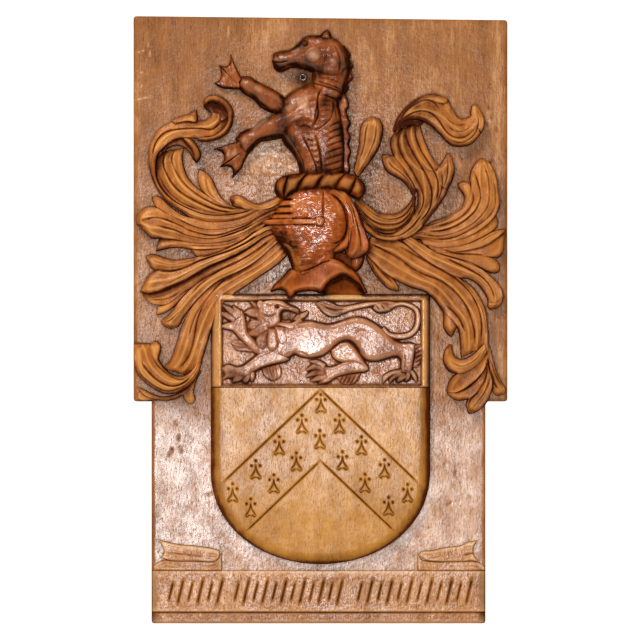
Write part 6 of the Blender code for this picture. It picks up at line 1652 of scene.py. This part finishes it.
antique(motto_band, stroke_cuts(), BAND_EDGE_HIGHLIGHT, steep=0.5, easy=0.5, cut_stain_and_shade=0.4, extra=band_ends)

# %% [markdown]
# Colours are given as they look on a screen, and turned into the linear values that a shader works with.

# %% Colour helper


def screen_colour(red, green, blue):
    """A linear colour from screen values of 0 to 255."""
    values = np.array([red, green, blue]) / 255
    linear = np.where(values <= 0.04045, values / 12.92, ((values + 0.055) / 1.055)**2.4)
    return (*linear.tolist(), 1.0)


# %% [markdown]
# The wood's figure is the same in every part, because it is one board: fine streaks and dark pores run up
# it, and larger clouds of stain cross them. It is a node group on object coordinates, so the streaks pass
# straight through the leaves as they do in solid wood. A painted texture would stretch on the steep sides.

# %% Node group: the wood's figure


def new_group(name, vectors, colours, numbers, given, kind="Float"):
    """An empty shader group with these sockets; gives the group, its entry and its way out."""
    group = bpy.data.node_groups.new(name, "ShaderNodeTree")
    rows = [(label, "INPUT", "Vector") for label in vectors]
    rows += [(label, "INPUT", "Color") for label in colours]
    rows += [(label, "INPUT", "Float") for label in numbers]
    rows += [(label, "OUTPUT", kind) for label in given]
    for label, side, sort in rows:
        socket = group.interface.new_socket(name=label, in_out=side, socket_type="NodeSocket" + sort)
        if label in numbers:
            socket.default_value = numbers[label]
    return group, group.nodes.new("NodeGroupInput"), group.nodes.new("NodeGroupOutput")


def stretched_noise(tree, vector, scale, detail, roughness=0.5):
    """A noise texture with its own stretch along each axis."""
    mapping = tree.nodes.new("ShaderNodeMapping")
    mapping.inputs["Scale"].default_value = scale
    noise = tree.nodes.new("ShaderNodeTexNoise")
    noise.inputs["Scale"].default_value = 1.0
    noise.inputs["Detail"].default_value = detail
    noise.inputs["Roughness"].default_value = roughness
    tree.links.new(vector, mapping.inputs["Vector"])
    tree.links.new(mapping.outputs["Vector"], noise.inputs["Vector"])
    return noise.outputs["Fac"]


def remap(tree, value, low, high, to_low=0.0, to_high=1.0):
    """Stretches a range of values to another, held at its ends."""
    node = tree.nodes.new("ShaderNodeMapRange")
    for label, number in (("From Min", low), ("From Max", high), ("To Min", to_low), ("To Max", to_high)):
        node.inputs[label].default_value = number
    tree.links.new(value, node.inputs["Value"])
    return node.outputs["Result"]


def calculate(tree, operation, first, second, third=None):
    """One step of arithmetic; each value is a socket or a number."""
    node = tree.nodes.new("ShaderNodeMath")
    node.operation = operation
    for socket, value in zip(node.inputs, (first, second, third)):
        if isinstance(value, (int, float)):
            socket.default_value = value
        elif value is not None:
            tree.links.new(value, socket)
    return node.outputs["Value"]


def blend_colours(tree, factor, first, second):
    """Mixes two colours; each one is a socket or a colour."""
    node = tree.nodes.new("ShaderNodeMix")
    node.data_type = "RGBA"
    for socket, value in ((node.inputs[0], factor), (node.inputs[6], first), (node.inputs[7], second)):
        if isinstance(value, (int, float, tuple)):
            socket.default_value = value
        else:
            tree.links.new(value, socket)
    return node.outputs[2]


def build_figure_group():
    given = ("Streaks", "Pores", "Clouds", "Patches")
    group, entry, leave = new_group("wood_figure", ("Vector",), (), {}, given)
    vector = entry.outputs["Vector"]
    broad = stretched_noise(group, vector, (60, 60, 6), 3)
    fine = stretched_noise(group, vector, (520, 520, 45), 5, 0.65)
    streaks = calculate(group, "MULTIPLY_ADD", fine, 0.55, calculate(group, "MULTIPLY", broad, 0.45))
    group.links.new(remap(group, streaks, 0.3, 0.7), leave.inputs["Streaks"])
    pores = stretched_noise(group, vector, (1000, 1000, 160), 2, 0.5)
    group.links.new(remap(group, pores, 0.60, 0.72), leave.inputs["Pores"])
    clouds = stretched_noise(group, vector, (16, 16, 11), 5, 0.62)
    group.links.new(remap(group, clouds, 0.32, 0.68), leave.inputs["Clouds"])
    patches = stretched_noise(group, vector, (85, 85, 60), 4, 0.6)
    group.links.new(remap(group, patches, 0.3, 0.7), leave.inputs["Patches"])
    return group


figure_group = build_figure_group()

# %% [markdown]
# The finish is a reddish stain, wiped off while wet, under varnish. One group mixes the colour from the
# bare tint, the dark of the hollows, which is stain together with painted shade, and the pale of the ridges,
# which is rubbed wear together with painted highlights; every wood material uses it with tints of its own.

# %% Node group: the stained colour, with painted shade and highlights


def build_stain_and_light_group():
    numbers = {"Stain_and_shade": 0.0, "Rub_and_highlight": 0.0, "Streaks": 0.5, "Pores": 0.0, "Clouds": 0.5, "Grain": 0.5,
               "Patches": 0.5, "Mottle": 0.2}
    group, entry, leave = new_group("wiped_stain_and_painted_light", (), ("Tint", "Dark", "Pale"), numbers, ("Color",), "Color")
    put = entry.outputs
    uneven = calculate(group, "SUBTRACT", put["Clouds"], 0.5)
    cloudy = calculate(group, "MULTIPLY_ADD", uneven, 0.36, put["Stain_and_shade"])
    patchy = calculate(group, "SUBTRACT", put["Patches"], 0.5)
    cloudy = calculate(group, "MULTIPLY_ADD", patchy, put["Mottle"], cloudy)
    lined = calculate(group, "SUBTRACT", put["Streaks"], 0.5)
    grainy = calculate(group, "MULTIPLY_ADD", lined, put["Grain"], cloudy)
    strength = calculate(group, "MULTIPLY", put["Grain"], 0.8)
    pored = calculate(group, "MULTIPLY_ADD", put["Pores"], strength, grainy)
    darkness = remap(group, pored, 0.0, 1.0)
    # Dark takes stain with painted shade, Pale takes rubbed wear with painted highlights.
    darkened = blend_colours(group, darkness, put["Tint"], put["Dark"])
    light = calculate(group, "MULTIPLY", put["Rub_and_highlight"], 0.75)
    bright = calculate(group, "MULTIPLY", remap(group, pored, 0.0, -0.5), 0.6)
    paled = blend_colours(group, calculate(group, "MAXIMUM", light, bright), darkened, put["Pale"])
    group.links.new(paled, leave.inputs["Color"])
    return group


stain_and_light_group = build_stain_and_light_group()

# %% [markdown]
# Up close the surface isn't flat: the ground was stippled with a small punch or gouge, leaves carry fine
# scratches of the tool along their length, and open pores leave hair lines. These are too fine for the
# mesh, so they feed a bump. The varnish is thick in some spots and worn in others, which changes its gloss.

# %% Node groups: fine relief and varnish


def facet_cups(tree, vector):
    """Small cups side by side, as a little gouge leaves them."""
    mapping = tree.nodes.new("ShaderNodeMapping")
    mapping.inputs["Scale"].default_value = (290, 290, 230)
    cells = tree.nodes.new("ShaderNodeTexVoronoi")
    cells.feature = "SMOOTH_F1"
    cells.inputs["Scale"].default_value = 1.0
    cells.inputs["Smoothness"].default_value = 0.25
    tree.links.new(vector, mapping.inputs["Vector"])
    tree.links.new(mapping.outputs["Vector"], cells.inputs["Vector"])
    return cells.outputs["Distance"]


def build_relief_group():
    numbers = {"Stipple": 0.5, "Scratches": 0.5, "Facets": 0.3, "Pores": 0.0, "Pits": 0.25}
    group, entry, leave = new_group("fine_relief", ("Vector", "Run"), (), numbers, ("Height",))
    put = entry.outputs
    dots = stretched_noise(group, put["Vector"], (330, 330, 260), 3, 0.6)
    dents = stretched_noise(group, put["Vector"], (120, 120, 95), 2)
    stipple = calculate(group, "MULTIPLY_ADD", dots, 0.55, calculate(group, "MULTIPLY", dents, 0.9))
    scratches = stretched_noise(group, put["Run"], (750, 40, 1), 3, 0.6)
    height = calculate(group, "MULTIPLY", stipple, put["Stipple"])
    height = calculate(group, "MULTIPLY_ADD", scratches, put["Scratches"], height)
    height = calculate(group, "MULTIPLY_ADD", facet_cups(group, put["Vector"]), put["Facets"], height)
    height = calculate(group, "SUBTRACT", height, calculate(group, "MULTIPLY", put["Pores"], put["Pits"]))
    group.links.new(height, leave.inputs["Height"])
    return group


def build_varnish_group():
    numbers = {"Stain_and_shade": 0.0, "Gloss": 0.3, "Worn": 0.6, "Shine": 0.4}
    group, entry, leave = new_group("uneven_varnish", ("Vector",), (), numbers, ("Roughness", "Coat"))
    put = entry.outputs
    patches = remap(group, stretched_noise(group, put["Vector"], (45, 45, 32), 5, 0.65), 0.34, 0.66)
    small = stretched_noise(group, put["Vector"], (240, 240, 120), 2)
    uneven = calculate(group, "MULTIPLY_ADD", calculate(group, "SUBTRACT", small, 0.5), 0.8, patches)
    uneven = calculate(group, "MAXIMUM", uneven, put["Stain_and_shade"])
    span = calculate(group, "SUBTRACT", put["Worn"], put["Gloss"])
    rough = calculate(group, "MULTIPLY_ADD", remap(group, uneven, 0.0, 1.0), span, put["Gloss"])
    group.links.new(rough, leave.inputs["Roughness"])
    coat = calculate(group, "MULTIPLY", remap(group, uneven, 0.0, 1.0, 1.0, 0.3), put["Shine"])
    coat = calculate(group, "MULTIPLY", coat, remap(group, put["Stain_and_shade"], 0.1, 0.7, 1.0, 0.0))
    group.links.new(coat, leave.inputs["Coat"])
    return group


relief_group = build_relief_group()
varnish_group = build_varnish_group()

# %% [markdown]
# One function makes the wood of each part from its tints. The shader itself stays in the material, with its
# constant values on its own sockets.

# %% The carved wood


def place_group(tree, group, values):
    node = tree.nodes.new("ShaderNodeGroup")
    node.node_tree = group
    for label, value in values.items():
        if isinstance(value, (int, float, tuple)):
            node.inputs[label].default_value = value
        else:
            tree.links.new(value, node.inputs[label])
    return node


def carved_wood(name, tint, dark, pale, grain=0.5, mottle=0.2, stipple=0.4, scratches=0.4, facets=0.2,
                pits=0.25, shine=0.3, gloss=0.34, worn=0.6, coat=0.2, deep=0.0012):
    made = bpy.data.materials.new(name)
    made.use_nodes = True
    tree = made.node_tree
    shader = tree.nodes["Principled BSDF"]
    where = tree.nodes.new("ShaderNodeTexCoord")
    place, values = where.outputs["Object"], {}
    # The first two attributes hold painted shade and painted highlights along with the stain and wear.
    for label in ("stain_and_shade", "rub_and_highlight", "tooled", "gloss"):
        node = tree.nodes.new("ShaderNodeAttribute")
        node.attribute_name = label
        values[label] = node.outputs["Fac"]
    figure = place_group(tree, figure_group, {"Vector": place}).outputs
    colour = place_group(tree, stain_and_light_group, {
        "Tint": screen_colour(*tint), "Dark": screen_colour(*dark), "Pale": screen_colour(*pale),
        "Stain_and_shade": values["stain_and_shade"], "Rub_and_highlight": values["rub_and_highlight"], "Streaks": figure["Streaks"],
        "Pores": figure["Pores"], "Clouds": figure["Clouds"], "Grain": grain,
        "Patches": figure["Patches"], "Mottle": mottle})
    relief = place_group(tree, relief_group, {
        "Vector": place, "Run": where.outputs["UV"], "Stipple": stipple, "Scratches": scratches,
        "Facets": facets, "Pores": figure["Pores"], "Pits": pits})
    varnish = place_group(tree, varnish_group, {
        "Vector": place, "Stain_and_shade": values["stain_and_shade"], "Gloss": gloss, "Worn": worn, "Shine": shine})
    bump = tree.nodes.new("ShaderNodeBump")
    bump.inputs["Strength"].default_value = 1.0
    bump.inputs["Distance"].default_value = deep
    height = calculate(tree, "MULTIPLY", relief.outputs["Height"], values["tooled"])
    tree.links.new(height, bump.inputs["Height"])
    layer = calculate(tree, "MULTIPLY", varnish.outputs["Coat"], values["gloss"])
    for label, source in (("Normal", bump.outputs["Normal"]), ("Coat Normal", bump.outputs["Normal"]),
                          ("Base Color", colour.outputs["Color"]),
                          ("Roughness", varnish.outputs["Roughness"]), ("Coat Weight", layer)):
        tree.links.new(source, shader.inputs[label])
    for label, number in (("Specular IOR Level", 0.03), ("Coat Roughness", coat), ("Coat IOR", 1.5)):
        shader.inputs[label].default_value = number
    return made


def dress(made, *pieces):
    for piece in pieces:
        piece.data.materials.clear()
        piece.data.materials.append(made)


dress(carved_wood("board_wood", (137, 86, 44), (60, 29, 14), (206, 158, 110), grain=0.75,
                  stipple=0.7, scratches=0.1, facets=0.3, shine=0.72, coat=0.21), board)
dress(carved_wood("mantling_wood", (152, 88, 36), (66, 25, 10), (208, 146, 78), grain=0.4, mottle=0.6,
                  stipple=0.16, scratches=0.45, facets=0.05, pits=0.1), left_mantling, right_mantling)
dress(carved_wood("crest_wood", (120, 56, 17), (36, 11, 4), (176, 132, 98), grain=0.45, mottle=1.0,
                  stipple=0.16, scratches=0.1, facets=0.08, pits=0.1, shine=0.35, coat=0.16), crest)
dress(carved_wood("helmet_wood", (144, 66, 18), (44, 14, 5), (198, 130, 66), grain=0.3, mottle=0.8,
                  stipple=0.06, scratches=0.1, facets=0.04, pits=0.1, shine=0.8, coat=0.18), helmet)
dress(carved_wood("lion_wood", (144, 86, 51), (66, 24, 12), (208, 162, 122), grain=0.3, mottle=0.6,
                  stipple=0.3, scratches=0.12, facets=0.16, pits=0.08, shine=1.0), lion)
dress(carved_wood("chief_wood", (144, 88, 50), (50, 22, 10), (208, 152, 84), grain=0.35, mottle=0.4,
                  stipple=0.5, scratches=0.1, facets=0.3, shine=1.0), shield_chief)
dress(carved_wood("field_wood", (164, 110, 44), (78, 30, 5), (206, 154, 84), grain=0.4, mottle=0.35,
                  stipple=0.25, scratches=0.12, facets=0.1, pits=0.1, shine=0.5, coat=0.24), shield_field)
dress(carved_wood("band_wood", (146, 92, 46), (66, 30, 11), (214, 166, 116), mottle=0.4, stipple=0.3,
                  scratches=0.12, facets=0.15, shine=0.5, coat=0.22), motto_band, motto_folds)

# %% [markdown]
# The screw eye is dull steel wire with a little dirt in its scratches.

# %% Steel


def dull_steel():
    made = bpy.data.materials.new("dull_steel")
    made.use_nodes = True
    tree = made.node_tree
    shader = tree.nodes["Principled BSDF"]
    where = tree.nodes.new("ShaderNodeTexCoord")
    dirt = stretched_noise(tree, where.outputs["Object"], (900, 900, 900), 4, 0.6)
    colour = blend_colours(tree, remap(tree, dirt, 0.42, 0.62), screen_colour(120, 110, 100),
                           screen_colour(40, 28, 20))
    tree.links.new(colour, shader.inputs["Base Color"])
    tree.links.new(remap(tree, dirt, 0.4, 0.65, 0.28, 0.6), shader.inputs["Roughness"])
    bump = tree.nodes.new("ShaderNodeBump")
    bump.inputs["Distance"].default_value = 0.0002
    tree.links.new(dirt, bump.inputs["Height"])
    tree.links.new(bump.outputs["Normal"], shader.inputs["Normal"])
    shader.inputs["Metallic"].default_value = 1.0
    return made


dress(dull_steel(), screw_eye)
